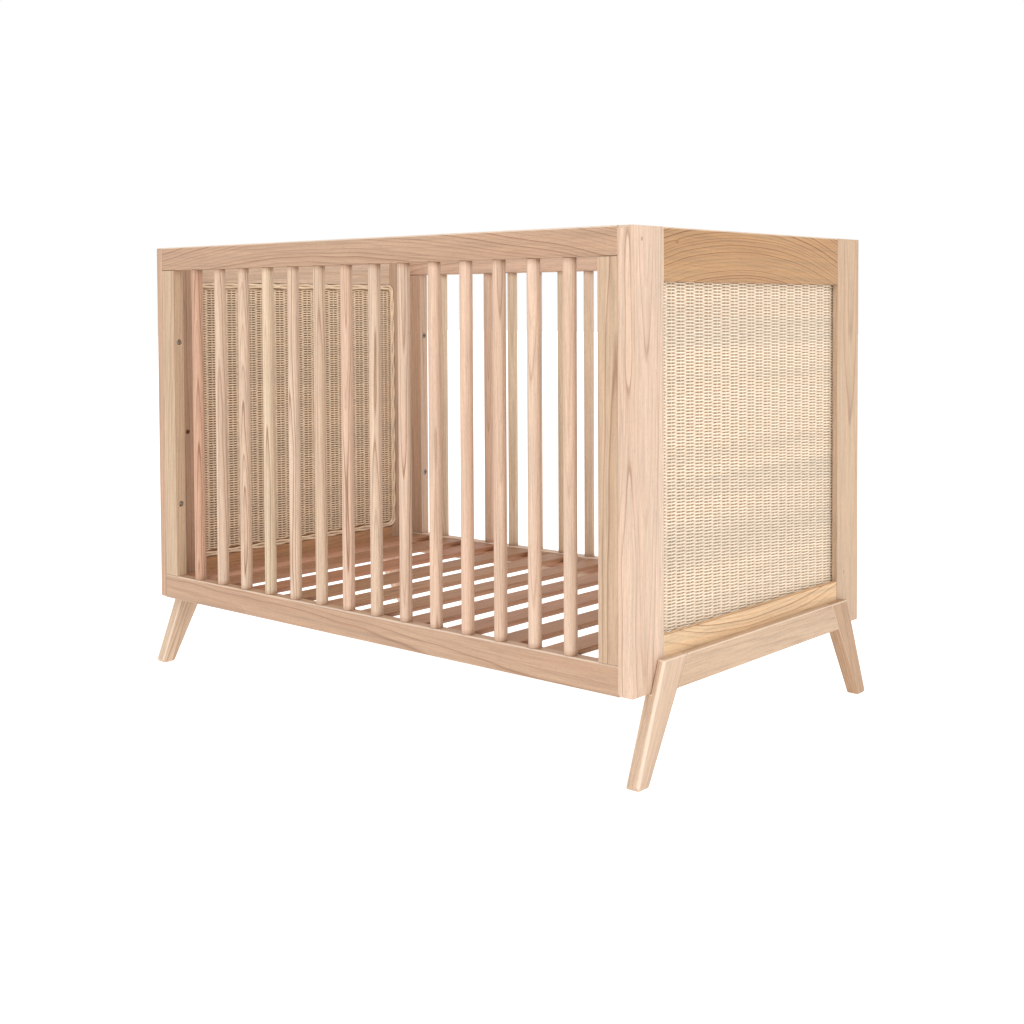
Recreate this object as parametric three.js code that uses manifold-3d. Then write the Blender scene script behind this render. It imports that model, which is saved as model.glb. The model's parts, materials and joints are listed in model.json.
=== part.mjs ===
// A baby crib in pale solid wood: two end panels filled with woven rattan, two spindle sides bolted
// between them, a slatted mattress base that lifts between two heights, and two splayed leg frames.
// Millimetres. +X runs to the right end, +Y to the back and +Z up. The origin is on the floor, under
// the middle of the crib.

import * as THREE from 'three';
import { mergeVertices } from 'three/addons/utils/BufferGeometryUtils.js';
import Module from 'manifold-3d';

const wasm = await Module();
wasm.setup();

// ---- Driving dimensions ---------------------------------------------------------------------------

const fitGap = 0.3; // air left between pieces that touch
const cutMargin = 1; // how far a cutter reaches past the face that it opens

// Overall
const insideLength = 1210; // between the two end panels, for a 1200 mattress
const depth = 750; // over the front and back faces, for a 700 mattress
const postHeight = 744; // height of the end panels
const legDrop = 144; // floor to the underside of the end panels

// End panels
const postThickness = 24;
const postWidth = 90;
const postEdgeRadius = 9; // outer upright edge
const postCornerRadius = 7; // outer top and bottom corners, seen from the end
const endTopRailHeight = 88;
const endBottomRailHeight = 87;

// Woven panel, let into a rebate on the inner face of the end panel
const rebateOverlap = 16; // how far the rebate goes past the window edge
const outerLip = 9.5; // wood left in front of the rebate
const rebateCornerRadius = 22;
const wovenThickness = 13.8;

// Spindle sides
const sideThickness = 24;
const sideTopRailHeight = 48;
const sideBottomRailHeight = 50;
const stileWidth = 41;
const spindleCount = 14;
const spindleDiameter = 23;

// Bolts that hold the sides to the end panels
const boltHeights = [203, 545]; // above the underside of the end panels
const boltHoleDiameter = 7;
const boltRecessDiameter = 12;
const boltRecessDepth = 9;

// Mattress base
const baseEndClearance = 10;
const baseSideClearance = 4;
const baseTopHeight = 47; // top of the slats above the underside of the end panels, lowest setting
const slatCount = 11;
const slatWidth = 58;
const slatThickness = 10;
const baseRailWidth = 35;
const baseRailThickness = 15;

// Support pins and their two heights
const pinDiameter = 9;
const pinHoleClearance = 0.4; // round the pin
const pinDepthInPost = 15;
const pinBearing = 15; // length of pin under the base
const pinInset = 60; // pin axis from the front or back face of the crib
const raisedPinHeight = 350; // above the underside of the end panels

// Leg frames
const legLapThickness = 15; // how far legs and cross rails stand out from the end panel
const legThickness = 25;
const legTopHeight = 51; // above the underside of the end panels
const legShoulderGap = 0.6;
const legFrontAtShoulder = 51.5; // front edge of the leg at the shoulder, from the face of the crib
const legSplay = THREE.MathUtils.degToRad(21); // lean of the outer edge from upright
const legTopWidth = 65;
const legFootWidth = 31;
const legFootRadius = 7;
const crossRailDrop = 1; // how far the cross rail reaches below the end panel

// ---- Derived sizes --------------------------------------------------------------------------------

const endPanelX = insideLength / 2; // inner face of the end panel
const outerFaceX = postThickness; // outer face, measured from the inner face
const windowWidth = depth - 2 * postWidth;
const windowHeight = postHeight - endTopRailHeight - endBottomRailHeight;
const windowCentreHeight = endBottomRailHeight + windowHeight / 2;
const rebateDepth = postThickness - outerLip;
const stileHeight = postHeight - sideTopRailHeight - sideBottomRailHeight;
const spindleSpan = insideLength - 2 * stileWidth;
const spindleGap = (spindleSpan - spindleCount * spindleDiameter) / (spindleCount + 1);
const spindlePitch = spindleDiameter + spindleGap;
const baseLength = insideLength - 2 * baseEndClearance;
const baseWidth = depth - 2 * (sideThickness + baseSideClearance);
const slatPitch = (baseLength - slatWidth) / (slatCount - 1);
const baseRailTop = baseTopHeight - slatThickness;
const baseRailBottom = baseRailTop - baseRailThickness;
const pinHeight = baseRailBottom - fitGap - pinDiameter / 2;
const pinHoleDiameter = pinDiameter + 2 * pinHoleClearance;
const pinY = depth / 2 - pinInset;

// ---- Materials ------------------------------------------------------------------------------------

function finish(color, roughness, metalness = 0) {
  return new THREE.MeshStandardMaterial({ color, roughness, metalness });
}

const paleWood = finish(0xe0bd9b, 0.6);
const warmWood = finish(0xd2a67c, 0.6);
const baseWood = finish(0xbd9474, 0.65);
const rattan = finish(0xe4cfa4, 0.7);
const steel = finish(0x9c9b98, 0.35, 0.9);

// ---- Solids and booleans --------------------------------------------------------------------------

function toSolid(geometry) {
  const bare = geometry.clone();
  bare.deleteAttribute('normal');
  bare.deleteAttribute('uv');
  const merged = mergeVertices(bare, 1e-4);
  return new wasm.Manifold(new wasm.Mesh({
    numProp: 3,
    vertProperties: new Float32Array(merged.attributes.position.array),
    triVerts: new Uint32Array(merged.index.array),
  }));
}

function toGeometry(solid) {
  const mesh = solid.getMesh();
  const geometry = new THREE.BufferGeometry();
  geometry.setAttribute('position', new THREE.BufferAttribute(mesh.vertProperties, 3));
  geometry.setIndex(new THREE.BufferAttribute(mesh.triVerts, 1));
  geometry.computeVertexNormals();
  return geometry;
}

function carve(geometry, cutters) {
  let solid = toSolid(geometry);
  for (const cutter of cutters) {
    solid = solid.subtract(toSolid(cutter));
  }
  return toGeometry(solid);
}

function fuse(geometries) {
  let solid = toSolid(geometries[0]);
  for (const geometry of geometries.slice(1)) {
    solid = solid.add(toSolid(geometry));
  }
  return toGeometry(solid);
}

function overlapOf(first, second) {
  return toGeometry(toSolid(first).intersect(toSolid(second)));
}

// A box given by its lowest and highest corner.
function block(low, high) {
  const size = high.map((value, axis) => value - low[axis]);
  const middle = high.map((value, axis) => (value + low[axis]) / 2);
  return new THREE.BoxGeometry(...size).translate(...middle);
}

// A round bar or a round cutter whose axis runs along X, from x = start to x = end.
function rodAlongX(start, end, diameter, y, z, sides = 16) {
  return new THREE.CylinderGeometry(diameter / 2, diameter / 2, end - start, sides)
    .rotateZ(Math.PI / 2)
    .translate((start + end) / 2, y, z);
}

// An outline drawn in the YZ plane, extruded along X from x = start to x = end.
function plateAlongX(outline, start, end) {
  return new THREE.ExtrudeGeometry(outline, { depth: end - start, bevelEnabled: false, curveSegments: 6 })
    .rotateY(Math.PI / 2)
    .rotateX(Math.PI / 2)
    .translate(start, 0, 0);
}

function roundedRectangle(width, height, radius, centreHeight) {
  const right = width / 2;
  const top = centreHeight + height / 2;
  const bottom = centreHeight - height / 2;
  const outline = new THREE.Shape();
  outline.absarc(right - radius, top - radius, radius, 0, Math.PI / 2);
  outline.absarc(-right + radius, top - radius, radius, Math.PI / 2, Math.PI);
  outline.absarc(-right + radius, bottom + radius, radius, Math.PI, 1.5 * Math.PI);
  outline.absarc(right - radius, bottom + radius, radius, 1.5 * Math.PI, 2 * Math.PI);
  return outline;
}

function addPiece(parent, name, geometry, material) {
  const mesh = new THREE.Mesh(geometry, material);
  mesh.name = name;
  parent.add(mesh);
  return mesh;
}

// ---- End panels -----------------------------------------------------------------------------------

// The rebate that the woven panel drops into, open on the inner face of the end panel.
function rebateCutter() {
  const outline = roundedRectangle(windowWidth + 2 * rebateOverlap, windowHeight + 2 * rebateOverlap,
    rebateCornerRadius, windowCentreHeight);
  return plateAlongX(outline, -cutMargin, rebateDepth);
}

// The post's plan: a board whose outer upright edge is rounded.
function postSection() {
  const outer = depth / 2;
  const section = new THREE.Shape();
  section.moveTo(0, outer - postWidth);
  section.lineTo(outerFaceX, outer - postWidth);
  section.lineTo(outerFaceX, outer - postEdgeRadius);
  section.absarc(outerFaceX - postEdgeRadius, outer - postEdgeRadius, postEdgeRadius, 0, Math.PI / 2);
  section.lineTo(0, outer);
  return section;
}

// The post as seen from the end of the crib, with its outer top and bottom corners rounded.
function postProfile() {
  const outer = depth / 2;
  const arcY = outer - postCornerRadius;
  const profile = new THREE.Shape();
  profile.moveTo(outer - postWidth, 0);
  profile.lineTo(arcY, 0);
  profile.absarc(arcY, postCornerRadius, postCornerRadius, -Math.PI / 2, 0);
  profile.lineTo(outer, postHeight - postCornerRadius);
  profile.absarc(arcY, postHeight - postCornerRadius, postCornerRadius, 0, Math.PI / 2);
  profile.lineTo(outer - postWidth, postHeight);
  return profile;
}

// A post at the front (side = -1) or back (side = 1) of an end panel. Its inner face holds a low and
// a high hole for a support pin.
function postGeometry(side) {
  const board = new THREE.ExtrudeGeometry(postSection(), {
    depth: postHeight,
    bevelEnabled: false,
    curveSegments: 4,
  });
  const rounded = overlapOf(board, plateAlongX(postProfile(), -cutMargin, outerFaceX + cutMargin));
  const holeEnd = pinDepthInPost + fitGap;
  const lowHole = rodAlongX(-cutMargin, holeEnd, pinHoleDiameter, pinY, pinHeight);
  const highHole = rodAlongX(-cutMargin, holeEnd, pinHoleDiameter, pinY, raisedPinHeight);
  const post = carve(rounded, [rebateCutter(), lowHole, highHole]);
  return side > 0 ? post : mirrorFrontToBack(post);
}

// The same shape on the other side of the crib's middle plane, with its faces still pointing out.
function mirrorFrontToBack(geometry) {
  const mirrored = geometry.clone();
  mirrored.scale(1, -1, 1);
  const corners = mirrored.index.array;
  for (let first = 0; first < corners.length; first += 3) {
    [corners[first + 1], corners[first + 2]] = [corners[first + 2], corners[first + 1]];
  }
  mirrored.computeVertexNormals();
  return mirrored;
}

function endRailGeometry(bottom, top) {
  const halfLength = windowWidth / 2 - fitGap;
  const board = block([0, -halfLength, bottom], [outerFaceX, halfLength, top]);
  return carve(board, [rebateCutter()]);
}

function wovenPanelGeometry() {
  const outline = roundedRectangle(
    windowWidth + 2 * (rebateOverlap - fitGap),
    windowHeight + 2 * (rebateOverlap - fitGap),
    rebateCornerRadius - fitGap,
    windowCentreHeight,
  );
  return plateAlongX(outline, rebateDepth - fitGap - wovenThickness, rebateDepth - fitGap);
}

// ---- Legs and cross rails -------------------------------------------------------------------------

const legTopOuter = depth / 2 - legFrontAtShoulder - legTopHeight * Math.tan(legSplay);
const legFootOuter = depth / 2 - legFrontAtShoulder + legDrop * Math.tan(legSplay);
const legTopInner = legTopOuter - legTopWidth;
const legFootInner = legFootOuter - legFootWidth;

// How far from the middle the inner edge of the leg is, at a height above the end panel's underside.
function legInnerEdge(height) {
  const share = (height + legDrop) / (legTopHeight + legDrop);
  return legFootInner + (legTopInner - legFootInner) * share;
}

// The leg's outline tapers from its top to a foot with rounded corners.
function legOutline() {
  const outline = new THREE.Shape();
  const outerLean = Math.atan2(legFootOuter - legTopOuter, legTopHeight + legDrop);
  const innerLean = Math.atan2(legFootInner - legTopInner, legTopHeight + legDrop);
  const outerStep = legFootRadius * Math.tan((Math.PI / 2 + outerLean) / 2);
  const innerStep = legFootRadius * Math.tan((Math.PI / 2 - innerLean) / 2);
  outline.moveTo(legTopInner, legTopHeight);
  outline.lineTo(legFootInner - innerStep * Math.sin(innerLean), -legDrop + innerStep * Math.cos(innerLean));
  outline.absarc(legFootInner + innerStep, -legDrop + legFootRadius, legFootRadius,
    Math.PI + innerLean, 1.5 * Math.PI, false);
  outline.lineTo(legFootOuter - outerStep, -legDrop);
  outline.absarc(legFootOuter - outerStep, -legDrop + legFootRadius, legFootRadius,
    1.5 * Math.PI, 2 * Math.PI + outerLean, false);
  outline.lineTo(legTopOuter, legTopHeight);
  return outline;
}

// A leg laps over the outside of the end panel and thickens inwards under it, with a shoulder.
function legGeometry(side) {
  const outerX = outerFaceX + legLapThickness;
  const leg = plateAlongX(legOutline(), outerX - legThickness, outerX);
  const lap = block(
    [-legThickness, 0, -legShoulderGap],
    [outerFaceX + fitGap, depth, legTopHeight + cutMargin],
  );
  const shaped = carve(leg, [lap]);
  return side > 0 ? shaped : mirrorFrontToBack(shaped);
}

function crossRailGeometry() {
  const topReach = legInnerEdge(legTopHeight) - fitGap;
  const bottomReach = legInnerEdge(-crossRailDrop) - fitGap;
  const outline = new THREE.Shape();
  outline.moveTo(-topReach, legTopHeight);
  outline.lineTo(-bottomReach, -crossRailDrop);
  outline.lineTo(bottomReach, -crossRailDrop);
  outline.lineTo(topReach, legTopHeight);
  return plateAlongX(outline, outerFaceX + fitGap, outerFaceX + legLapThickness);
}

// ---- One end of the crib --------------------------------------------------------------------------

// The right end is built as it stands, and the left end is the same end turned half a turn.
function buildEnd(endName, turned) {
  const end = new THREE.Group();
  const placed = new THREE.Group();
  placed.position.x = endPanelX;
  end.add(placed);
  end.rotation.z = turned ? Math.PI : 0;

  for (const side of [-1, 1]) {
    const isBack = turned ? side < 0 : side > 0;
    const corner = `${isBack ? 'back' : 'front'}_${endName}`;
    addPiece(placed, `post_${corner}`, postGeometry(side), paleWood);
    addPiece(placed, `leg_${corner}`, legGeometry(side), paleWood);
    const pin = rodAlongX(-baseEndClearance - pinBearing, pinDepthInPost, pinDiameter, side * pinY, pinHeight);
    addPiece(placed, `support_pin_${corner}`, pin, steel);
  }
  const topRail = endRailGeometry(postHeight - endTopRailHeight, postHeight);
  addPiece(placed, `end_top_rail_${endName}`, topRail, warmWood);
  addPiece(placed, `end_bottom_rail_${endName}`, endRailGeometry(0, endBottomRailHeight), warmWood);
  addPiece(placed, `rattan_panel_${endName}`, wovenPanelGeometry(), rattan);
  addPiece(placed, `cross_rail_${endName}`, crossRailGeometry(), paleWood);
  return end;
}

// ---- Spindle sides --------------------------------------------------------------------------------

function sideRailGeometry(bottom, top) {
  const halfLength = insideLength / 2 - fitGap;
  return block([-halfLength, 0, bottom], [halfLength, sideThickness, top]);
}

// The stile at the left (end = -1) or right (end = 1) of a side, bored for the two bolts. The bolts
// go in from the inner edge of the stile, where their heads sit in a recess.
function stileGeometry(end) {
  const outerX = end * (insideLength / 2 - fitGap);
  const innerX = end * (insideLength / 2 - stileWidth);
  const board = block(
    [Math.min(outerX, innerX), 0, sideBottomRailHeight + fitGap],
    [Math.max(outerX, innerX), sideThickness, postHeight - sideTopRailHeight - fitGap],
  );
  const cutters = [];
  for (const height of boltHeights) {
    const hole = [outerX + end * cutMargin, innerX - end * cutMargin];
    const recess = [innerX + end * boltRecessDepth, innerX - end * cutMargin];
    cutters.push(rodAlongX(Math.min(...hole), Math.max(...hole), boltHoleDiameter, sideThickness / 2, height));
    cutters.push(rodAlongX(Math.min(...recess), Math.max(...recess), boltRecessDiameter,
      sideThickness / 2, height));
  }
  return carve(board, cutters);
}

function spindleGeometry(index) {
  const x = (index - (spindleCount - 1) / 2) * spindlePitch;
  const length = stileHeight - 2 * fitGap;
  return new THREE.CylinderGeometry(spindleDiameter / 2, spindleDiameter / 2, length, 20)
    .rotateX(Math.PI / 2)
    .translate(x, sideThickness / 2, sideBottomRailHeight + stileHeight / 2);
}

// The front side is built as it stands, and the back side is the same side turned half a turn.
function buildSide(sideName, turned) {
  const side = new THREE.Group();
  const placed = new THREE.Group();
  placed.position.y = -depth / 2;
  side.add(placed);
  side.rotation.z = turned ? Math.PI : 0;

  const topRail = sideRailGeometry(postHeight - sideTopRailHeight, postHeight);
  addPiece(placed, `top_rail_${sideName}`, topRail, paleWood);
  addPiece(placed, `bottom_rail_${sideName}`, sideRailGeometry(0, sideBottomRailHeight), paleWood);
  for (const end of [-1, 1]) {
    const isLeft = turned ? end > 0 : end < 0;
    addPiece(placed, `stile_${sideName}_${isLeft ? 'left' : 'right'}`, stileGeometry(end), paleWood);
  }
  for (let index = 0; index < spindleCount; index += 1) {
    const fromLeft = turned ? spindleCount - index : index + 1;
    const number = String(fromLeft).padStart(2, '0');
    addPiece(placed, `spindle_${sideName}_${number}`, spindleGeometry(index), paleWood);
  }
  return side;
}

// ---- Mattress base --------------------------------------------------------------------------------

// Two long rails with the slats glued across them.
function slatDeckGeometry() {
  const halfLength = baseLength / 2;
  const halfWidth = baseWidth / 2;
  const boards = [];
  for (const side of [-1, 1]) {
    const edges = [side * halfWidth, side * (halfWidth - baseRailWidth)];
    boards.push(block(
      [-halfLength, Math.min(...edges), baseRailBottom],
      [halfLength, Math.max(...edges), baseRailTop],
    ));
  }
  for (let index = 0; index < slatCount; index += 1) {
    const x = (index - (slatCount - 1) / 2) * slatPitch;
    boards.push(block(
      [x - slatWidth / 2, -halfWidth, baseRailTop],
      [x + slatWidth / 2, halfWidth, baseTopHeight],
    ));
  }
  return fuse(boards);
}

// A rail across one end of the base, between the long rails and under the end slat.
function baseEndRailGeometry(end) {
  const edges = [end * baseLength / 2, end * (baseLength / 2 - baseRailWidth)];
  const halfSpan = baseWidth / 2 - baseRailWidth - fitGap;
  return block(
    [Math.min(...edges), -halfSpan, baseRailBottom],
    [Math.max(...edges), halfSpan, baseRailTop - fitGap],
  );
}

function buildBase() {
  const base = new THREE.Group();
  addPiece(base, 'slat_deck', slatDeckGeometry(), baseWood);
  addPiece(base, 'base_end_rail_left', baseEndRailGeometry(-1), baseWood);
  addPiece(base, 'base_end_rail_right', baseEndRailGeometry(1), baseWood);
  return base;
}

// ---- The whole crib -------------------------------------------------------------------------------

const crib = new THREE.Group();
crib.position.z = legDrop;
crib.add(buildEnd('left', true));
crib.add(buildEnd('right', false));
crib.add(buildSide('front', false));
crib.add(buildSide('back', true));
crib.add(buildBase());

export default crib;
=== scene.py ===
"""A baby crib in pale solid wood with woven rattan end panels, dressed for a studio view.

The crib's boards are cut from the fixed frame's solids and get rounded arrises and wood grain that
runs along each board. Spindles, slats, cane, stakes, bolts and pins are swept or repeated with
Geometry Nodes. Lengths are in metres.
"""

from __future__ import annotations

import json
import logging
import math
import random
from dataclasses import dataclass, field
from enum import Enum
from typing import Any, Iterable, Sequence

import bmesh
import bpy
import numpy as np
from mathutils import Matrix, Vector

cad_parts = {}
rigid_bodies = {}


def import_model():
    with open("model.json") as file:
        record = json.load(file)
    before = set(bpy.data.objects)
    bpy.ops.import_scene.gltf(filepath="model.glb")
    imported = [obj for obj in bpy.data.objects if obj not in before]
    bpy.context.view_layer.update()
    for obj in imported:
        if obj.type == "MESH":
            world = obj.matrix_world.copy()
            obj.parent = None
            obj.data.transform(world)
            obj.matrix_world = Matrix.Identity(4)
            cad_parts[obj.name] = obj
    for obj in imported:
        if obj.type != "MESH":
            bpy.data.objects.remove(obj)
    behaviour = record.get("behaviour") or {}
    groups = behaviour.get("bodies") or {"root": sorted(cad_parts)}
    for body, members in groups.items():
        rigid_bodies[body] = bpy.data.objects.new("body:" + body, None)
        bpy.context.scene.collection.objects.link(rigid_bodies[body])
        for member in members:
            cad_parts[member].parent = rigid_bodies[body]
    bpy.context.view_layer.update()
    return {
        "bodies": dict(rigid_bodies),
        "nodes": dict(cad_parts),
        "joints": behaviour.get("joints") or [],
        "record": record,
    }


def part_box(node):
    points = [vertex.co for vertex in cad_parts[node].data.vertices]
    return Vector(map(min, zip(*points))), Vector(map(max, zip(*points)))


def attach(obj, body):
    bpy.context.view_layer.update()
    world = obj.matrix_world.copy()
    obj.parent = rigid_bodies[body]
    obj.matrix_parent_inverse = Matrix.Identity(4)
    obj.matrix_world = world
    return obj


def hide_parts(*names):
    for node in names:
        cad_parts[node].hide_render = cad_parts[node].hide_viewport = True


LOG = logging.getLogger("crib")
MM = 0.001

Colour = tuple[float, float, float]
Triple = tuple[float, float, float]


class Body(Enum):
    """The bodies of the crib that a piece rides on."""

    FRAME = "frame"
    BASE = "mattress_base"


class Slot(Enum):
    """The record's material slots."""

    PALE_WOOD = "pale_wood"
    END_RAIL_WOOD = "end_rail_wood"
    BASE_WOOD = "base_wood"
    RATTAN = "rattan"
    STEEL = "pin_steel"


class End(Enum):
    """The left and right ends, with the sign of X."""

    LEFT = -1
    RIGHT = 1

    @property
    def word(self) -> str:
        """The word used in node names."""
        return self.name.lower()


class Side(Enum):
    """The front and back sides, with the sign of Y."""

    FRONT = -1
    BACK = 1

    @property
    def word(self) -> str:
        """The word used in node names."""
        return self.name.lower()


# ---- Node trees -----------------------------------------------------------------------------------


class Wire:
    """One value in a node tree, so that node maths can be written as Python expressions."""

    def __init__(self, bench: "Bench", socket: bpy.types.NodeSocket) -> None:
        """Wraps a socket.

        Args:
            bench: The tree that the socket belongs to.
            socket: The output socket that carries the value.
        """
        self.bench = bench
        self.socket = socket

    def math(self, operation: str, *others: Any, first: bool = True) -> "Wire":
        """Adds a Math node.

        Args:
            operation: The Math node's operation.
            others: The other operands, numbers or wires.
            first: Whether this value is the first operand.

        Returns:
            The result.
        """
        operands = [self, *others] if first else [*others, self]
        node = self.bench.node(self.bench.math_type, {"operation": operation}, dict(enumerate(operands)))
        return Wire(self.bench, node.outputs[0])

    def __add__(self, other: Any) -> "Wire":
        """The sum."""
        return self.math("ADD", other)

    def __radd__(self, other: Any) -> "Wire":
        """The sum, with a number on the left."""
        return self.math("ADD", other)

    def __sub__(self, other: Any) -> "Wire":
        """The difference."""
        return self.math("SUBTRACT", other)

    def __rsub__(self, other: Any) -> "Wire":
        """The difference, with a number on the left."""
        return self.math("SUBTRACT", other, first=False)

    def __mul__(self, other: Any) -> "Wire":
        """The product."""
        return self.math("MULTIPLY", other)

    def __rmul__(self, other: Any) -> "Wire":
        """The product, with a number on the left."""
        return self.math("MULTIPLY", other)

    def __truediv__(self, other: Any) -> "Wire":
        """The quotient."""
        return self.math("DIVIDE", other)


class Bench:
    """Builds one node tree, for a material or for Geometry Nodes."""

    def __init__(self, tree: bpy.types.NodeTree) -> None:
        """Starts on an empty tree.

        Args:
            tree: The tree to fill.
        """
        self.tree = tree
        self.math_type = "ShaderNodeMath"
        tree.nodes.clear()

    def node(
        self,
        kind: str,
        settings: dict[str, Any] | None = None,
        inputs: dict[Any, Any] | None = None,
    ) -> bpy.types.Node:
        """Adds a node, sets it up and feeds it.

        Args:
            kind: The node's type.
            settings: Properties that are set first. The key "stops" fills a colour ramp.
            inputs: Socket names or numbers with the values or wires that feed them.

        Returns:
            The node.
        """
        node = self.tree.nodes.new(kind)
        for key, value in (settings or {}).items():
            if key == "stops":
                self._fill_ramp(node.color_ramp, value)
            else:
                setattr(node, key, value)
        for key, value in (inputs or {}).items():
            self.feed(node.inputs[key], value)
        return node

    @staticmethod
    def _fill_ramp(ramp: bpy.types.ColorRamp, stops: Sequence[tuple[float, Any]]) -> None:
        """Gives a ramp its stops.

        Args:
            ramp: The ramp to fill.
            stops: Positions with grey levels or colours.
        """
        while len(ramp.elements) < len(stops):
            ramp.elements.new(1.0)
        for element, (position, value) in zip(ramp.elements, stops):
            element.position = position
            grey = isinstance(value, (int, float))
            element.color = (value, value, value, 1.0) if grey else (*value, 1.0)

    def feed(self, socket: bpy.types.NodeSocket, value: Any) -> None:
        """Links a wire to a socket, or sets the socket's own value.

        Args:
            socket: The input socket.
            value: A wire, a socket, a number, a colour or a data-block.
        """
        if isinstance(value, Wire):
            self.tree.links.new(value.socket, socket)
        elif isinstance(value, bpy.types.NodeSocket):
            self.tree.links.new(value, socket)
        elif isinstance(value, tuple) and socket.type == "RGBA" and len(value) == 3:
            socket.default_value = (*value, 1.0)
        else:
            socket.default_value = value

    def wire(self, node: bpy.types.Node, output: Any = 0) -> Wire:
        """One output of a node as a wire."""
        return Wire(self, node.outputs[output])

    def parts(self, vector: Wire) -> tuple[Wire, Wire, Wire]:
        """The three components of a vector."""
        node = self.node("ShaderNodeSeparateXYZ", {}, {0: vector})
        return self.wire(node, 0), self.wire(node, 1), self.wire(node, 2)

    def vector(self, x: Any, y: Any, z: Any) -> Wire:
        """A vector made of three values."""
        return self.wire(self.node("ShaderNodeCombineXYZ", {}, {0: x, 1: y, 2: z}))

    def vector_math(self, operation: str, a: Any, b: Any) -> Wire:
        """Vector Math on two vectors.

        Args:
            operation: The node's operation.
            a: The first vector.
            b: The second vector, or the scale for the operation SCALE.

        Returns:
            The resulting vector.
        """
        second = "Scale" if operation == "SCALE" else 1
        return self.wire(self.node("ShaderNodeVectorMath", {"operation": operation}, {0: a, second: b}))


class MaterialBench(Bench):
    """Builds a material on a Principled shader."""

    def __init__(self, name: str) -> None:
        """Makes a material with an empty tree.

        Args:
            name: The material's name.
        """
        self.material = bpy.data.materials.new(name)
        self.material.use_nodes = True
        super().__init__(self.material.node_tree)

    def attribute(self, name: str) -> Wire:
        """A vector attribute of the piece."""
        node = self.node("ShaderNodeAttribute", {"attribute_type": "GEOMETRY", "attribute_name": name})
        return self.wire(node, "Vector")

    def place(self) -> Wire:
        """The point on the piece, in Object coordinates."""
        return self.wire(self.node("ShaderNodeTexCoord"), "Object")

    def noise(self, where: Wire, stretch: Triple, detail: float = 2.0, roughness: float = 0.5) -> Wire:
        """A noise pattern from 0 to 1.

        Args:
            where: The coordinates.
            stretch: How many cells fit in a metre along each coordinate.
            detail: The noise's detail.
            roughness: The noise's roughness.

        Returns:
            The noise value.
        """
        scaled = self.vector_math("MULTIPLY", where, stretch)
        settings = {"noise_dimensions": "3D"}
        inputs = {"Vector": scaled, "Scale": 1.0, "Detail": detail, "Roughness": roughness}
        return self.wire(self.node("ShaderNodeTexNoise", settings, inputs), 0)

    def ramp(self, value: Wire, stops: Sequence[tuple[float, Any]]) -> Wire:
        """A colour ramp.

        Args:
            value: What drives it.
            stops: Positions with grey levels or colours.

        Returns:
            The ramp's colour.
        """
        return self.wire(self.node("ShaderNodeValToRGB", {"stops": stops}, {0: value}))

    def mix(self, factor: Any, a: Any, b: Any, blend: str = "MIX") -> Wire:
        """Mixes two colours.

        Args:
            factor: How much of the second colour shows.
            a: The first colour.
            b: The second colour.
            blend: The blend type.

        Returns:
            The mixed colour.
        """
        settings = {"data_type": "RGBA", "blend_type": blend, "clamp_factor": True}
        node = self.node("ShaderNodeMix", settings, {0: factor, 6: a, 7: b})
        return self.wire(node, 2)

    def bump(self, height: Wire, strength: float, distance: float) -> Wire:
        """A bump normal.

        Args:
            height: The height pattern.
            strength: The bump's strength.
            distance: The height of the pattern, in metres.

        Returns:
            The normal.
        """
        inputs = {"Strength": strength, "Distance": distance, "Height": height}
        return self.wire(self.node("ShaderNodeBump", {}, inputs))

    def finish(self, **sockets: Any) -> bpy.types.Material:
        """Adds the Principled shader and the output.

        Args:
            sockets: Socket names with _ for spaces, and what feeds them.

        Returns:
            The finished material.
        """
        shader = self.node("ShaderNodeBsdfPrincipled")
        for name, value in sockets.items():
            self.feed(shader.inputs[name.replace("_", " ")], value)
        self.node("ShaderNodeOutputMaterial", {}, {"Surface": shader.outputs[0]})
        return self.material


# ---- Finishes -------------------------------------------------------------------------------------


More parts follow.
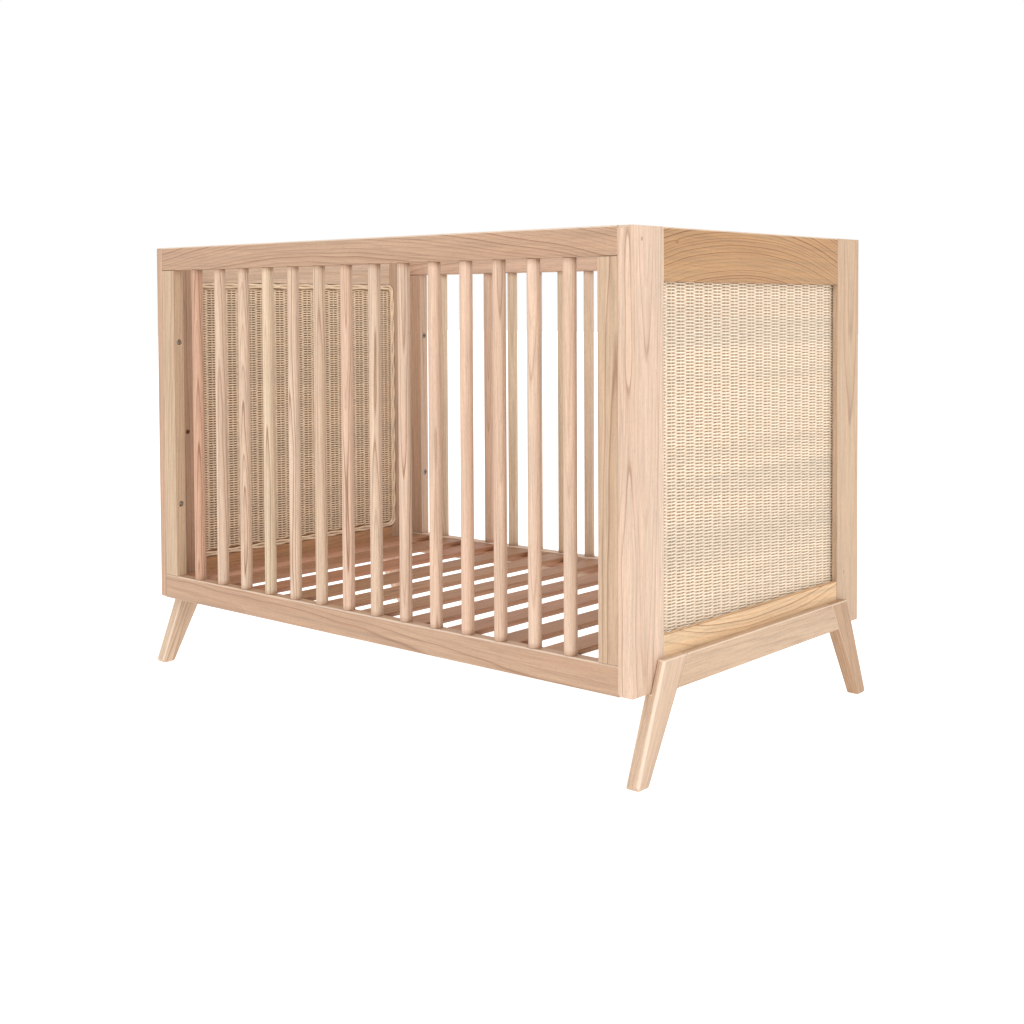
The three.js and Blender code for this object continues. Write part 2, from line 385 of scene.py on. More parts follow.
@dataclass(frozen=True)
class WoodFinish:
    """Softly figured wood under a thin clear lacquer, read from attributes of the mesh.

    "grain" is the point inside the log: along the grain, and two coordinates from the pith.
    "character" holds how red the board is, how dark it is and how bold its rings are.
    "figure" holds how far the rings arch, which stretch of the log it is and how wide they are.
    "knot" is the point seen from the board's knot, with the knot's size, below 0 for an outline.
    "edge" is above 0 on arrises that don't face down, for a paler painted highlight, and below 0 for painted
    shade where parts meet.

    Attributes:
        name: The material's name.
        pale: The colour of the early wood.
        ripe: The colour of the riper wood.
        ring: The colour of the ring lines, the pores, the knots and the painted shade where parts meet.
        sanded: The colour of the painted highlight on arrises that don't face down.
        darkened: What a dark board's colour is multiplied by.
        ring_width: The usual width of a ring.
        ring_strength: How strong the ring lines are.
        roughness: The lacquer's roughness.
        sway: How far the log bends, sideways and in depth, and how far it wanders in its small bends.
        sway_cells: How many bends there are in a metre, along and across the log.
        wander_cells: How many small bends there are in a metre.
        fibre_cells: How many fibres there are in a metre.
        streak_cells: How many streaks there are in a metre.
        cloud_cells: How many soft patches there are in a metre.
        pore_cells: How many pores there are in a metre.
    """

    name: str
    pale: Colour
    ripe: Colour
    ring: Colour
    # Painted highlight colour for the arrises that don't face down.
    sanded: Colour = (0.88, 0.74, 0.60)
    darkened: Colour = (0.60, 0.47, 0.36)
    ring_width: float = 5.0 * MM
    ring_strength: float = 0.78
    roughness: float = 0.52
    sway: Triple = (20.0 * MM, 12.0 * MM, 2.2 * MM)
    sway_cells: Triple = (2.4, 8.0, 8.0)
    wander_cells: Triple = (8.0, 34.0, 34.0)
    fibre_cells: Triple = (12.0, 560.0, 560.0)
    streak_cells: Triple = (2.4, 150.0, 150.0)
    cloud_cells: Triple = (1.6, 15.0, 15.0)
    pore_cells: Triple = (110.0, 1900.0, 1900.0)

    def material(self) -> bpy.types.Material:
        """The material."""
        b = MaterialBench(self.name)
        grain = b.attribute("grain")
        warmth, darkness, boldness = b.parts(b.attribute("character"))
        arch, shift, breadth = b.parts(b.attribute("figure"))
        along, across, deep = b.parts(grain)
        log = b.vector_math("ADD", grain, b.vector(shift, shift, 0.0))
        swell, core, outline = self._knot(b)

        sway = b.noise(log, self.sway_cells, 2.0) - 0.5
        wander = b.noise(log, self.wander_cells, 1.0) - 0.5
        bent = across + arch * along * along + sway * self.sway[0]
        sunk = deep + sway * self.sway[1] + wander * self.sway[2]
        radius = (bent * bent + sunk * sunk).math("SQRT") + swell
        spread = b.noise(b.vector(radius, shift, 0.0), (48.0, 1.0, 1.0), 1.0)
        rings = radius / (breadth * self.ring_width) + spread * 2.6
        phase = rings.math("FRACT")
        count = rings.math("FLOOR") + shift
        luck = b.wire(b.node("ShaderNodeTexWhiteNoise", {"noise_dimensions": "1D"}, {"W": count}), 0)
        edge = b.ramp(phase, [(0.0, 0.45), (0.06, 0.0), (0.5, 0.08), (0.8, 0.32), (0.93, 1.0), (1.0, 0.45)])
        line = edge * (0.18 + 0.82 * luck * luck)

        fibre = b.noise(log, self.fibre_cells, 3.0, 0.65)
        streak = b.noise(log, self.streak_cells, 2.0, 0.6)
        cloud = b.noise(log, self.cloud_cells, 2.0)
        pores = b.noise(log, self.pore_cells, 1.0)
        pits = b.ramp(pores, [(0.0, 1.0), (0.33, 1.0), (0.42, 0.0), (1.0, 0.0)])

        ripeness = cloud * 1.3 + streak * 1.1 - 0.75
        colour = b.mix(ripeness, self.pale, self.ripe)
        colour = b.mix(line * boldness * self.ring_strength, colour, self.ring)
        fibres = b.ramp(fibre, [(0.25, 0.79), (0.5, 0.98), (0.75, 1.13)])
        colour = b.mix(1.0, colour, fibres, "MULTIPLY")
        streaks = b.ramp(streak, [(0.3, 0.82), (0.5, 0.99), (0.7, 1.09)])
        colour = b.mix(1.0, colour, streaks, "MULTIPLY")
        colour = b.mix(pits * 0.3, colour, self.ring)
        hue = b.ramp(warmth, [(0.0, (0.99, 1.0, 0.93)), (0.4, (1.0, 0.97, 0.97)), (1.0, (1.0, 0.80, 0.74))])
        colour = b.mix(1.0, colour, hue, "MULTIPLY")
        colour = b.mix(darkness, colour, b.mix(1.0, colour, self.darkened, "MULTIPLY"))
        colour = b.mix(core * 0.85 + outline * 0.5, colour, self.ring)
        # Painted light on the edges: a paler painted highlight on arrises that don't face down, and painted
        # shade in the ring colour where parts meet.
        painted_edge_light_shade, _, _ = b.parts(b.attribute("edge"))
        colour = b.mix(painted_edge_light_shade.math("MAXIMUM", 0.0) * 0.5, colour, self.sanded)
        colour = b.mix((painted_edge_light_shade * -1.0).math("MAXIMUM", 0.0) * 0.75, colour, self.ring)

        relief = fibre * 0.5 + line * 0.35 - pits * 0.5
        dullness = self.roughness + streak * 0.08 + line * 0.05
        return b.finish(
            Base_Color=colour,
            Roughness=dullness,
            Normal=b.bump(relief, 0.22, 0.35 * MM),
            Coat_Weight=0.08,
            Coat_Roughness=0.35,
        )

    @staticmethod
    def _knot(b: MaterialBench) -> tuple[Wire, Wire, Wire]:
        """The board's knot.

        Args:
            b: The material's bench.

        Returns:
            How far it pushes the rings aside, how much its core covers and how much its outline does.
        """
        along, across, size = b.parts(b.attribute("knot"))
        girth = size.math("ABSOLUTE")
        away = (along * along * 0.3 + across * across).math("SQRT")
        near = (1.0 - away / (girth * 4.5 + 0.0001)).math("MAXIMUM", 0.0)
        swell = near * near * girth * 1.2
        inside = ((girth - away) / (girth * 0.3 + 0.00001)).math("MAXIMUM", 0.0).math("MINIMUM", 1.0)
        solid = size.math("GREATER_THAN", 0.0)
        rim = (1.0 - (away - girth).math("ABSOLUTE") / (girth * 0.12 + 0.00001)).math("MAXIMUM", 0.0)
        return swell, inside * solid, rim * size.math("LESS_THAN", 0.0)


@dataclass(frozen=True)
class CaneFinish:
    """Peeled rattan core: creamy strands, each of its own tone, with greyer bands of rows.

    "strand" holds a strand's tone and, last, 1 on the flat core behind the strands, whose dark colour is
    painted shade in the gaps. The side that looks into the crib gets a warm painted bounce light, and painted
    shade darkens the core there.

    Attributes:
        name: The material's name.
        cream: The colour of the palest strands.
        straw: The colour of the darkest strands.
        weathered: The colour of the greyer bands.
        core: The colour of the flat core, dark as painted shade seen through the gaps of the weave.
        inner_tint: What the inner side's colour is multiplied by, a warm painted bounce light.
        inner_shade: What the core's colour is multiplied by as well, on its inner face, as painted shade.
        middle: How far the weave's middle lies from the middle of the crib.
        depth: How far the change to the inner side's painted light reaches on each side of the middle.
        core_face: How far the core's faces lie from the middle, or a little less.
        roughness: The cane's roughness.
        greying: How strong the bands are.
        band_cells: How many bands there are in a metre, in depth, along and up the panel.
        fleck_cells: How many flecks there are in a metre.
    """

    name: str = "rattan_cane"
    cream: Colour = (0.86, 0.745, 0.60)
    straw: Colour = (0.79, 0.645, 0.485)
    weathered: Colour = (0.60, 0.52, 0.43)
    core: Colour = (0.58, 0.41, 0.27)
    # The inner side's painted light: a warm painted bounce light, and painted shade on the core's inner face.
    inner_tint: Colour = (1.0, 0.92, 0.83)
    inner_shade: Colour = (0.52, 0.44, 0.37)
    middle: float = 0.637
    depth: float = 2.0 * MM
    core_face: float = 0.2 * MM
    roughness: float = 0.6
    greying: float = 0.36
    band_cells: Triple = (1.0, 0.5, 24.0)
    fleck_cells: Triple = (260.0, 60.0, 700.0)

    def material(self) -> bpy.types.Material:
        """The material."""
        b = MaterialBench(self.name)
        where = b.place()
        tone, _, deep = b.parts(b.attribute("strand"))
        bands = b.noise(where, self.band_cells, 2.0, 0.5)
        grey = b.ramp(bands, [(0.0, 0.0), (0.44, 0.0), (0.60, 1.0), (1.0, 1.0)])
        flecks = b.noise(where, self.fleck_cells, 2.0)
        colour = b.mix(tone, self.cream, self.straw)
        # The flat core behind the strands takes the core colour, painted shade that shows through the gaps.
        colour = b.mix(deep, colour, self.core)
        colour = b.mix(grey * self.greying, colour, self.weathered)
        worn = b.ramp(flecks, [(0.3, 0.82), (0.55, 1.0), (0.8, 1.06)])
        colour = b.mix(1.0, colour, worn, "MULTIPLY")
        # Painted light on the side that looks into the crib: warm painted bounce light, and painted shade on
        # the core's inner face.
        past = self.middle - b.parts(where)[0].math("ABSOLUTE")
        inwards = past / (2.0 * self.depth) + 0.5
        colour = b.mix(inwards, colour, b.mix(1.0, colour, self.inner_tint, "MULTIPLY"))
        inner_core = deep * (past / self.core_face).math("MAXIMUM", 0.0).math("MINIMUM", 1.0)
        colour = b.mix(inner_core, colour, b.mix(1.0, colour, self.inner_shade, "MULTIPLY"))
        return b.finish(
            Base_Color=colour,
            Roughness=self.roughness + flecks * 0.1,
            Normal=b.bump(flecks, 0.25, 0.3 * MM),
        )


@dataclass(frozen=True)
class SteelFinish:
    """Zinc-plated steel, for bolts and pins.

    Attributes:
        name: The material's name.
        colour: The colour of clean metal.
        tarnish: The colour of dull patches.
        patch_cells: How many dull patches there are in a metre.
        scratch_cells: How many scratches there are in a metre.
    """

    name: str = "zinc_steel"
    colour: Colour = (0.56, 0.55, 0.53)
    tarnish: Colour = (0.34, 0.32, 0.30)
    patch_cells: Triple = (90.0, 90.0, 90.0)
    scratch_cells: Triple = (1500.0, 400.0, 400.0)

    def material(self) -> bpy.types.Material:
        """The material."""
        b = MaterialBench(self.name)
        where = b.place()
        patches = b.noise(where, self.patch_cells, 3.0)
        scratches = b.noise(where, self.scratch_cells, 2.0)
        colour = b.mix(patches, self.colour, self.tarnish)
        return b.finish(
            Base_Color=colour,
            Metallic=1.0,
            Roughness=0.28 + patches * 0.2,
            Normal=b.bump(scratches, 0.2, 0.1 * MM),
        )


@dataclass(frozen=True)
class FloorFinish:
    """A plain pale studio floor with a faint mottle. It glows a little, so that it stays white."""

    name: str = "studio_floor"
    colour: Colour = (0.62, 0.62, 0.62)
    glow: float = 0.8
    roughness: float = 0.9

    def material(self) -> bpy.types.Material:
        """The material."""
        b = MaterialBench(self.name)
        mottle = b.noise(b.place(), (1.2, 1.2, 1.2), 2.0)
        shade = b.ramp(mottle, [(0.0, 0.985), (1.0, 1.0)])
        colour = b.mix(1.0, self.colour, shade, "MULTIPLY")
        return b.finish(
            Base_Color=colour,
            Roughness=self.roughness,
            Emission_Color=(1.0, 1.0, 1.0),
            Emission_Strength=self.glow,
        )


# ---- Wood grain -----------------------------------------------------------------------------------


@dataclass(frozen=True)
class Character:
    """How one board was cut and what it looks like.

    Attributes:
        warmth: 0 for a creamy board, 1 for a reddish one.
        darkness: 0 for a pale board, 1 for a dark one.
        arch: How far the figure arches along the board, per metre.
        pith: Where the pith lies across the board, sideways and behind its face.
        lean: How far the pith leans against the board, sideways and in depth, per metre.
        shift: Which stretch of the log the board was cut from.
        boldness: How strong the rings are.
        breadth: How wide the rings are, 1 for the usual width.
        knot: Where its knot is, along and across from the board's middle, and its size.
    """

    warmth: float = 0.35
    darkness: float = 0.1
    arch: float = 0.0
    pith: tuple[float, float] = (0.01, 0.05)
    lean: tuple[float, float] = (0.0, 0.02)
    shift: float = 0.0
    boldness: float = 1.0
    breadth: float = 1.0
    knot: Triple = (0.0, 0.0, 0.0)


def random_character(seed: int, warmth: float = 0.35, darkness: float = 0.15) -> Character:
    """A board of its own, the same at each run.

    Args:
        seed: The board's seed.
        warmth: The middle of the range of warmth.
        darkness: The middle of the range of darkness.

    Returns:
        The character.
    """
    draw = random.Random(seed)
    return Character(
        warmth=max(0.0, warmth + draw.uniform(-0.35, 0.4)),
        darkness=max(0.0, darkness + draw.uniform(-0.15, 0.2)),
        arch=draw.uniform(-0.03, 0.03),
        pith=(draw.uniform(-0.02, 0.02), draw.uniform(0.02, 0.06)),
        lean=(draw.uniform(-0.012, 0.012), draw.choice((-1, 1)) * draw.uniform(0.008, 0.03)),
        shift=draw.uniform(-9.0, 9.0),
        boldness=draw.uniform(0.55, 1.2),
        breadth=draw.uniform(0.8, 1.5),
    )


def write_vectors(mesh: bpy.types.Mesh, name: str, values: np.ndarray) -> None:
    """Stores a vector for each vertex.

    Args:
        mesh: The mesh.
        name: The attribute's name.
        values: One row for each vertex.
    """
    attribute = mesh.attributes.get(name) or mesh.attributes.new(name, "FLOAT_VECTOR", "POINT")
    attribute.data.foreach_set("vector", np.ascontiguousarray(values, np.float32).ravel())


def vertex_places(mesh: bpy.types.Mesh) -> np.ndarray:
    """The vertices of a mesh as rows."""
    places = np.zeros(len(mesh.vertices) * 3, np.float32)
    mesh.vertices.foreach_get("co", places)
    return places.reshape(-1, 3).astype(float)


def write_grain(mesh: bpy.types.Mesh, along: Vector, face: Vector, character: Character) -> None:
    """Lays the grain of one board into its mesh.

    Args:
        mesh: The board's mesh.
        along: The direction of the grain.
        face: The direction that the board's broad face looks.
        character: How the board was cut.
    """
    places = vertex_places(mesh)
    middle = (places.max(0) + places.min(0)) / 2
    across = face.cross(along)
    local = (places - middle) @ np.array([along, across, face]).T
    length = local[:, 0].copy()
    knot_along, knot_across, knot_size = character.knot
    knot = np.stack([length - knot_along, local[:, 1] - knot_across, np.full(len(places), knot_size)], 1)
    write_vectors(mesh, "knot", knot if knot_size else knot * 0.0)
    local[:, 1] += character.pith[0] + character.lean[0] * length
    local[:, 2] += character.pith[1] + character.lean[1] * length
    write_vectors(mesh, "grain", local)
    looks = (character.warmth, character.darkness, character.boldness)
    write_vectors(mesh, "character", np.tile(looks, (len(places), 1)))
    figure = (character.arch, character.shift, character.breadth)
    write_vectors(mesh, "figure", np.tile(figure, (len(places), 1)))


# ---- Meshes ---------------------------------------------------------------------------------------


def link(mesh: bpy.types.Mesh, name: str) -> bpy.types.Object:
    """A new object in the scene that holds a mesh."""
    piece = bpy.data.objects.new(name, mesh)
    bpy.context.scene.collection.objects.link(piece)
    return piece


def link_form(form: bmesh.types.BMesh, name: str) -> bpy.types.Object:
    """A new object in the scene that holds a form, which is used up."""
    mesh = bpy.data.meshes.new(name)
    form.to_mesh(mesh)
    form.free()
    return link(mesh, name)


def settle(piece: bpy.types.Object) -> bpy.types.Object:
    """Turns a piece's modifiers into a plain mesh and removes them.

    Args:
        piece: The piece with live modifiers.

    Returns:
        The same piece, with its result as its mesh.
    """
    bpy.context.view_layer.update()
    graph = bpy.context.evaluated_depsgraph_get()
    mesh = bpy.data.meshes.new_from_object(piece.evaluated_get(graph), depsgraph=graph)
    piece.modifiers.clear()
    piece.data = mesh
    return piece


def hand_over(
    piece: bpy.types.Object, body: Body, replaced: Iterable[str], material: bpy.types.Material
) -> bpy.types.Object:
    """Gives a finished piece its material, its body and the nodes that it stands for.

    Args:
        piece: The finished piece.
        body: The body that it rides on.
        replaced: The frame's nodes that it stands for.
        material: Its material.

    Returns:
        The piece.
    """
    piece.data.materials.clear()
    piece.data.materials.append(material)
    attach(piece, body.value)
    names = list(replaced)
    if names:
        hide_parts(*names)
    LOG.info("%s: %d faces", piece.name, len(piece.data.polygons))
    return piece


class Arris(Enum):
    """Where the rounded edges of a board are, by the two faces that meet there."""

    POST = (
        ("up", "out", 2.6), ("up", "in", 2.2), ("up", "far", 2.4), ("far", "out", 2.6), ("far", "in", 0.9),
        ("down", "out", 2.6), ("down", "far", 2.4), ("near", "out", 0.9),
    )
    END_TOP_RAIL = (("up", "out", 2.6), ("up", "in", 2.2), ("down", "out", 1.2))
    END_BOTTOM_RAIL = (("up", "out", 1.2), ("down", "in", 1.2))
    SIDE_RAIL = (("up", "far", 3.0), ("up", "near", 3.0), ("down", "far", 3.0), ("down", "near", 3.0))
    STILE = (("in", "far", 3.0), ("in", "near", 3.0))
    LEG = (
        ("out", "far", 6.0), ("out", "near", 2.0), ("in", "far", 4.0), ("in", "near", 1.5),
        ("out", "up", 3.0), ("far", "up", 3.0), ("down", "out", 5.0), ("down", "in", 3.0),
        ("far", "down", 10.2), ("near", "down", 4.1),
    )
    CROSS_RAIL = (("out", "up", 2.6), ("out", "down", 2.6), ("in", "down", 1.5))
    BASE_RAIL = (("up", "near", 1.5), ("down", "near", 1.5), ("down", "far", 1.5), ("in", "down", 1.5))

    def radius(self, faces: frozenset[str]) -> float:
        """How far one edge is rounded.

        Args:
            faces: The two faces that meet at the edge.

        Returns:
            The radius in millimetres.
        """
        for first, second, size in self.value:
            if faces == frozenset((first, second)):
                return size
        return CRISP_EDGE


# An edge that no arris names is eased by CRISP_EDGE. Like the arrises, these two are in millimetres.
CRISP_EDGE = 0.45
WIDEST_EDGE = 10.2

EDGE_SEGMENTS = 3
SAME_PLACE = 0.02 * MM
SAME_PLANE = math.radians(0.4)
CRISP_STEP = 0.3 * MM
FLAT_MATCH = math.cos(math.radians(4.0))
UNDERSIDE = -0.2
FOOT_ROUNDING = 12.0 * MM
SHARP_ANGLE = math.radians(35)
HOLE_EDGE_LENGTH = 2.6 * MM


def face_word(normal: Vector, centre: Vector) -> str:
    """Names the way a face looks, as seen from the middle of the crib.

    Args:
        normal: The face's normal.
        centre: The middle of the board.

    Returns:
        "up", "down", "out", "in", "far" or "near".
    """
    sizes = [abs(component) for component in normal]
    axis = sizes.index(max(sizes))
    if axis == 2:
        return "up" if normal.z > 0 else "down"
    outward = normal[axis] * centre[axis] > 0
    if axis == 0:
        return "out" if outward else "in"
    return "far" if outward else "near"


@dataclass
class Board:
    """One board, cut from a node of the frame, with rounded arrises and its own grain.

    Attributes:
        node: The frame's node that the board stands for.
        arris: Which of its edges are rounded.
        along: The direction of its grain.
        face: The direction that its broad face looks.
        character: How it was cut.
        has_holes: Whether short edges on its inner face belong to holes.
    """

    node: str
    arris: Arris
    along: Vector
    face: Vector
    character: Character
    has_holes: bool = False

    def shape(self) -> bpy.types.Object:
        """Cuts the board.

        Returns:
            The board as a new piece.
        """
        mesh = frame_mesh(self.node)
        form = bmesh.new()
        form.from_mesh(mesh)
        bmesh.ops.remove_doubles(form, verts=form.verts, dist=SAME_PLACE)
        bmesh.ops.dissolve_limit(form, angle_limit=SAME_PLANE, verts=form.verts, edges=form.edges)
        if self.arris is Arris.LEG:
            square_foot(form)
        weights = form.edges.layers.float.new("bevel_weight_edge")
        low = Vector([min(v.co[i] for v in form.verts) for i in range(3)])
        high = Vector([max(v.co[i] for v in form.verts) for i in range(3)])
        centre = (low + high) / 2
        flats = flat_directions(form)
        for edge in form.edges:
            if len(edge.link_faces) == 2 and edge.calc_face_angle() > SHARP_ANGLE:
                words = frozenset(face_word(face.normal, centre) for face in edge.link_faces)
                hole = self.has_holes and "in" in words and edge.calc_length() < HOLE_EDGE_LENGTH
                radius = CRISP_EDGE if hole else self.arris.radius(words)
                edge[weights] = radius / WIDEST_EDGE
        form.to_mesh(mesh)
        form.free()
        piece = link(mesh, f"{self.node}_board")
        bevel = piece.modifiers.new("arrises", "BEVEL")
        bevel.limit_method = "WEIGHT"
        bevel.width = WIDEST_EDGE * MM
        bevel.segments = EDGE_SEGMENTS
        bevel.use_clamp_overlap = True
        settle(piece)
        write_edges(piece.data, flats)
        smooth_by_angle(piece)
        write_grain(piece.data, self.along, self.face, self.character)
        return piece


def square_foot(form: bmesh.types.BMesh) -> None:
    """Brings a leg's foot back to sharp corners, so that they can be rounded together with its arrises.

    Args:
        form: The leg, with a foot that is rounded in its outline only.
    """
    floor = min(vertex.co.z for vertex in form.verts)
    foot = [vertex for vertex in form.verts if vertex.co.z < floor + FOOT_ROUNDING]
    sole = [vertex.co.y for vertex in foot if vertex.co.z < floor + CRISP_STEP]
    middle = (min(sole) + max(sole)) / 2
    corners: dict[tuple[int, bool], list[bmesh.types.BMVert]] = {}
    for vertex in foot:
        corners.setdefault((round(vertex.co.x / MM), vertex.co.y > middle), []).append(vertex)
    for group in corners.values():
        ankle = max(group, key=lambda vertex: vertex.co.z)
        above = max((edge.other_vert(ankle) for edge in ankle.link_edges), key=lambda vertex: vertex.co.z)
        lean = above.co - ankle.co
        corner = ankle.co + lean * ((floor - ankle.co.z) / lean.z)
        for vertex in group:
            vertex.co = corner
    bmesh.ops.remove_doubles(form, verts=form.verts, dist=SAME_PLACE)
    bmesh.ops.dissolve_degenerate(form, edges=form.edges, dist=SAME_PLACE)
    form.normal_update()


def flat_directions(form: bmesh.types.BMesh) -> np.ndarray:
    """The directions that a board's flat faces look, as rows."""
    form.normal_update()
    return np.array([tuple(face.normal) for face in form.faces])


def write_edges(mesh: bpy.types.Mesh, flats: np.ndarray) -> None:
    """Marks the vertices inside rounded edges for painted light: above 0 on wide arrises that don't face
    down, for a painted highlight, and below 0 on crisp ones, for painted shade.

    Args:
        mesh: The board's mesh, with its edges rounded.
        flats: The directions of its flat faces.
    """
    form = bmesh.new()
    form.from_mesh(mesh)
    form.normal_update()
    rounded = [float((flats @ np.array(face.normal)).max()) < FLAT_MATCH for face in form.faces]
    painted_light_marks = np.zeros((len(form.verts), 3))
    for vertex in form.verts:
        if vertex.link_faces and all(rounded[face.index] for face in vertex.link_faces):
            shortest = min(edge.calc_length() for edge in vertex.link_edges)
            # Arrises that don't face down get the painted highlight; crisp edges get painted shade.
            lit = vertex.normal.z > UNDERSIDE
            painted_light_marks[vertex.index, 0] = -1.0 if shortest < CRISP_STEP else float(lit)
    form.free()
    write_vectors(mesh, "edge", painted_light_marks)


def frame_mesh(node: str) -> bpy.types.Mesh:
    """A copy of the mesh of one of the frame's nodes, without its materials."""
    mesh = FRAME["nodes"][node].data.copy()
    mesh.materials.clear()
    for name in [attribute.name for attribute in mesh.attributes if attribute.name == "custom_normal"]:
        mesh.attributes.remove(mesh.attributes[name])
    return mesh


def smooth_by_angle(piece: bpy.types.Object) -> None:
    """Shades a piece smoothly over its small edges and weights its normals by face area."""
    mesh = piece.data
    mesh.polygons.foreach_set("use_smooth", [True] * len(mesh.polygons))
    mesh.set_sharp_from_angle(angle=SHARP_ANGLE)
    weighted = piece.modifiers.new("face_weights", "WEIGHTED_NORMAL")
    weighted.keep_sharp = True
    weighted.weight = 80
    settle(piece)


# ---- Geometry Nodes -------------------------------------------------------------------------------


# A face whose normal rises by less than this is taken as a wall.
UPRIGHT_LIMIT = 0.7


class Bower(Bench):
    """Builds a Geometry Nodes tree with named inputs and runs it on a piece."""

    def __init__(self, name: str) -> None:
        """Starts a tree that takes and gives geometry.

        Args:
            name: The tree's name.
        """
        tree = bpy.data.node_groups.new(name, "GeometryNodeTree")
        super().__init__(tree)
        tree.interface.new_socket("Geometry", in_out="INPUT", socket_type="NodeSocketGeometry")
        tree.interface.new_socket("Geometry", in_out="OUTPUT", socket_type="NodeSocketGeometry")
        self.entry = tree.nodes.new("NodeGroupInput")
        self.exit = tree.nodes.new("NodeGroupOutput")
        self.values: dict[str, Any] = {}

    def size(self, name: str, value: Any, kind: str = "NodeSocketFloat") -> Wire:
        """Adds a named input.

        Args:
            name: The input's name.
            value: The value that the piece gives it.
            kind: The socket's type.

        Returns:
            The input as a wire.
        """
        socket = self.tree.interface.new_socket(name, in_out="INPUT", socket_type=kind)
        self.values[socket.identifier] = value
        return self.wire(self.entry, name)

    def start(self) -> Wire:
        """The geometry that comes in."""
        return self.wire(self.entry, "Geometry")

    def field(self, name: str) -> Wire:
        """A vector attribute of the geometry."""
        node = self.node("GeometryNodeInputNamedAttribute", {"data_type": "FLOAT_VECTOR"}, {"Name": name})
        return self.wire(node, "Attribute")

    def position(self) -> Wire:
        """The position of each point."""
        return self.wire(self.node("GeometryNodeInputPosition"))

    def store(self, geometry: Any, name: str, value: Any) -> Wire:
        """Stores a vector on each point.

        Args:
            geometry: The geometry.
            name: The attribute's name.
            value: The vector.

        Returns:
            The geometry with the attribute.
        """
        settings = {"data_type": "FLOAT_VECTOR", "domain": "POINT"}
        inputs = {"Geometry": geometry, "Name": name, "Value": value}
        return self.wire(self.node("GeometryNodeStoreNamedAttribute", settings, inputs))

    def straight(self, start: Any, end: Any) -> Wire:
        """A straight curve between two points."""
        return self.wire(self.node("GeometryNodeCurvePrimitiveLine", {"mode": "POINTS"}, {0: start, 1: end}))

    def circle(self, radius: Any, sides: int) -> Wire:
        """A circle as a profile."""
        inputs = {"Resolution": sides, "Radius": radius}
        return self.wire(self.node("GeometryNodeCurvePrimitiveCircle", {"mode": "RADIUS"}, inputs))

    def sweep(self, path: Any, profile: Any, caps: bool, swell: Any = 1.0) -> Wire:
        """Sweeps a profile along a path.

        Args:
            path: The path curve.
            profile: The profile curve.
            caps: Whether the ends are closed.
            swell: How large the profile is, 1 for its own size.

        Returns:
            The swept mesh.
        """
        inputs = {"Curve": path, "Profile Curve": profile, "Scale": swell, "Fill Caps": caps}
        return self.wire(self.node("GeometryNodeCurveToMesh", {}, inputs))

    def instance(self, points: Any, shape: Any, rotation: Any = (0.0, 0.0, 0.0)) -> Wire:
        """Puts a shape on each point."""
        inputs = {"Points": points, "Instance": shape, "Rotation": rotation}
        return self.wire(self.node("GeometryNodeInstanceOnPoints", {}, inputs))

    def join(self, *geometries: Wire) -> Wire:
        """Joins geometry."""
        node = self.node("GeometryNodeJoinGeometry")
        for geometry in reversed(geometries):
            self.tree.links.new(geometry.socket, node.inputs[0])
        return self.wire(node)

    def smooth(self, geometry: Any, flat_ends: bool = False) -> Wire:
        """Shades geometry smoothly.

        Args:
            geometry: The geometry.
            flat_ends: Whether faces that look along Z stay flat.

        Returns:
            The geometry.
        """
        inputs: dict[str, Any] = {"Geometry": geometry, "Shade Smooth": True}
        if flat_ends:
            _, _, rise = self.parts(self.wire(self.node("GeometryNodeInputNormal")))
            limits = {0: rise.math("ABSOLUTE"), 1: UPRIGHT_LIMIT}
            level = self.node("FunctionNodeCompare", {"operation": "LESS_THAN"}, limits)
            inputs["Selection"] = self.wire(level)
        return self.wire(self.node("GeometryNodeSetShadeSmooth", {}, inputs))

    def run(
        self, geometry: Wire, name: str, points: bpy.types.Mesh, material: bpy.types.Material
    ) -> bpy.types.Object:
        """Ends the tree in Realize Instances and Set Material, and runs it.

        Args:
            geometry: The geometry that comes out.
            name: The piece's name.
            points: The mesh that the tree starts from.
            material: The piece's material.

        Returns:
            The piece, as a plain mesh.
        """
        finish = self.size("Material", material, "NodeSocketMaterial")
        whole = self.node("GeometryNodeRealizeInstances", {}, {0: geometry})
        dressed = self.node("GeometryNodeSetMaterial", {}, {"Geometry": whole.outputs[0], "Material": finish})
        self.tree.links.new(dressed.outputs[0], self.exit.inputs[0])
        piece = link(points, name)
        modifier = piece.modifiers.new(name, "NODES")
        modifier.node_group = self.tree
        for identifier, value in self.values.items():
            modifier[identifier] = value
        return settle(piece)


def point_mesh(name: str, places: Sequence[Triple], **fields: Sequence[Triple]) -> bpy.types.Mesh:
    """A mesh of loose points that carry vectors.

    Args:
        name: The mesh's name.
        places: The points.
        fields: Attribute names with one vector for each point.

    Returns:
        The mesh.
    """
    mesh = bpy.data.meshes.new(name)
    mesh.from_pydata([tuple(place) for place in places], [], [])
    for field_name, values in fields.items():
        write_vectors(mesh, field_name, np.array(values, float))
    return mesh


def grain_fields(characters: Sequence[Character]) -> dict[str, list[Triple]]:
    """The vectors that a repeated board's point carries.

    Args:
        characters: The character of each board.

    Returns:
        Attribute names with one vector for each board.
    """
    return {
        "character": [(c.warmth, c.darkness, c.boldness) for c in characters],
        "figure": [(c.arch, c.shift, c.breadth) for c in characters],
        "log_shift": [(0.0, c.pith[0], c.pith[1]) for c in characters],
        "log_lean": [(0.0, c.lean[0], c.lean[1]) for c in characters],
    }


def lay_grain(bower: Bower, geometry: Wire) -> Wire:
    """Moves each repeated board's grain to its own place in the log.

    Args:
        bower: The tree.
        geometry: Realized boards with local grain and the vectors of grain_fields.

    Returns:
        The boards with their grain.
    """
    local = bower.field("grain")
    length, _, _ = bower.parts(local)
    leaned = bower.vector_math("SCALE", bower.field("log_lean"), length)
    placed = bower.vector_math("ADD", bower.vector_math("ADD", local, bower.field("log_shift")), leaned)
    return bower.store(geometry, "grain", placed)


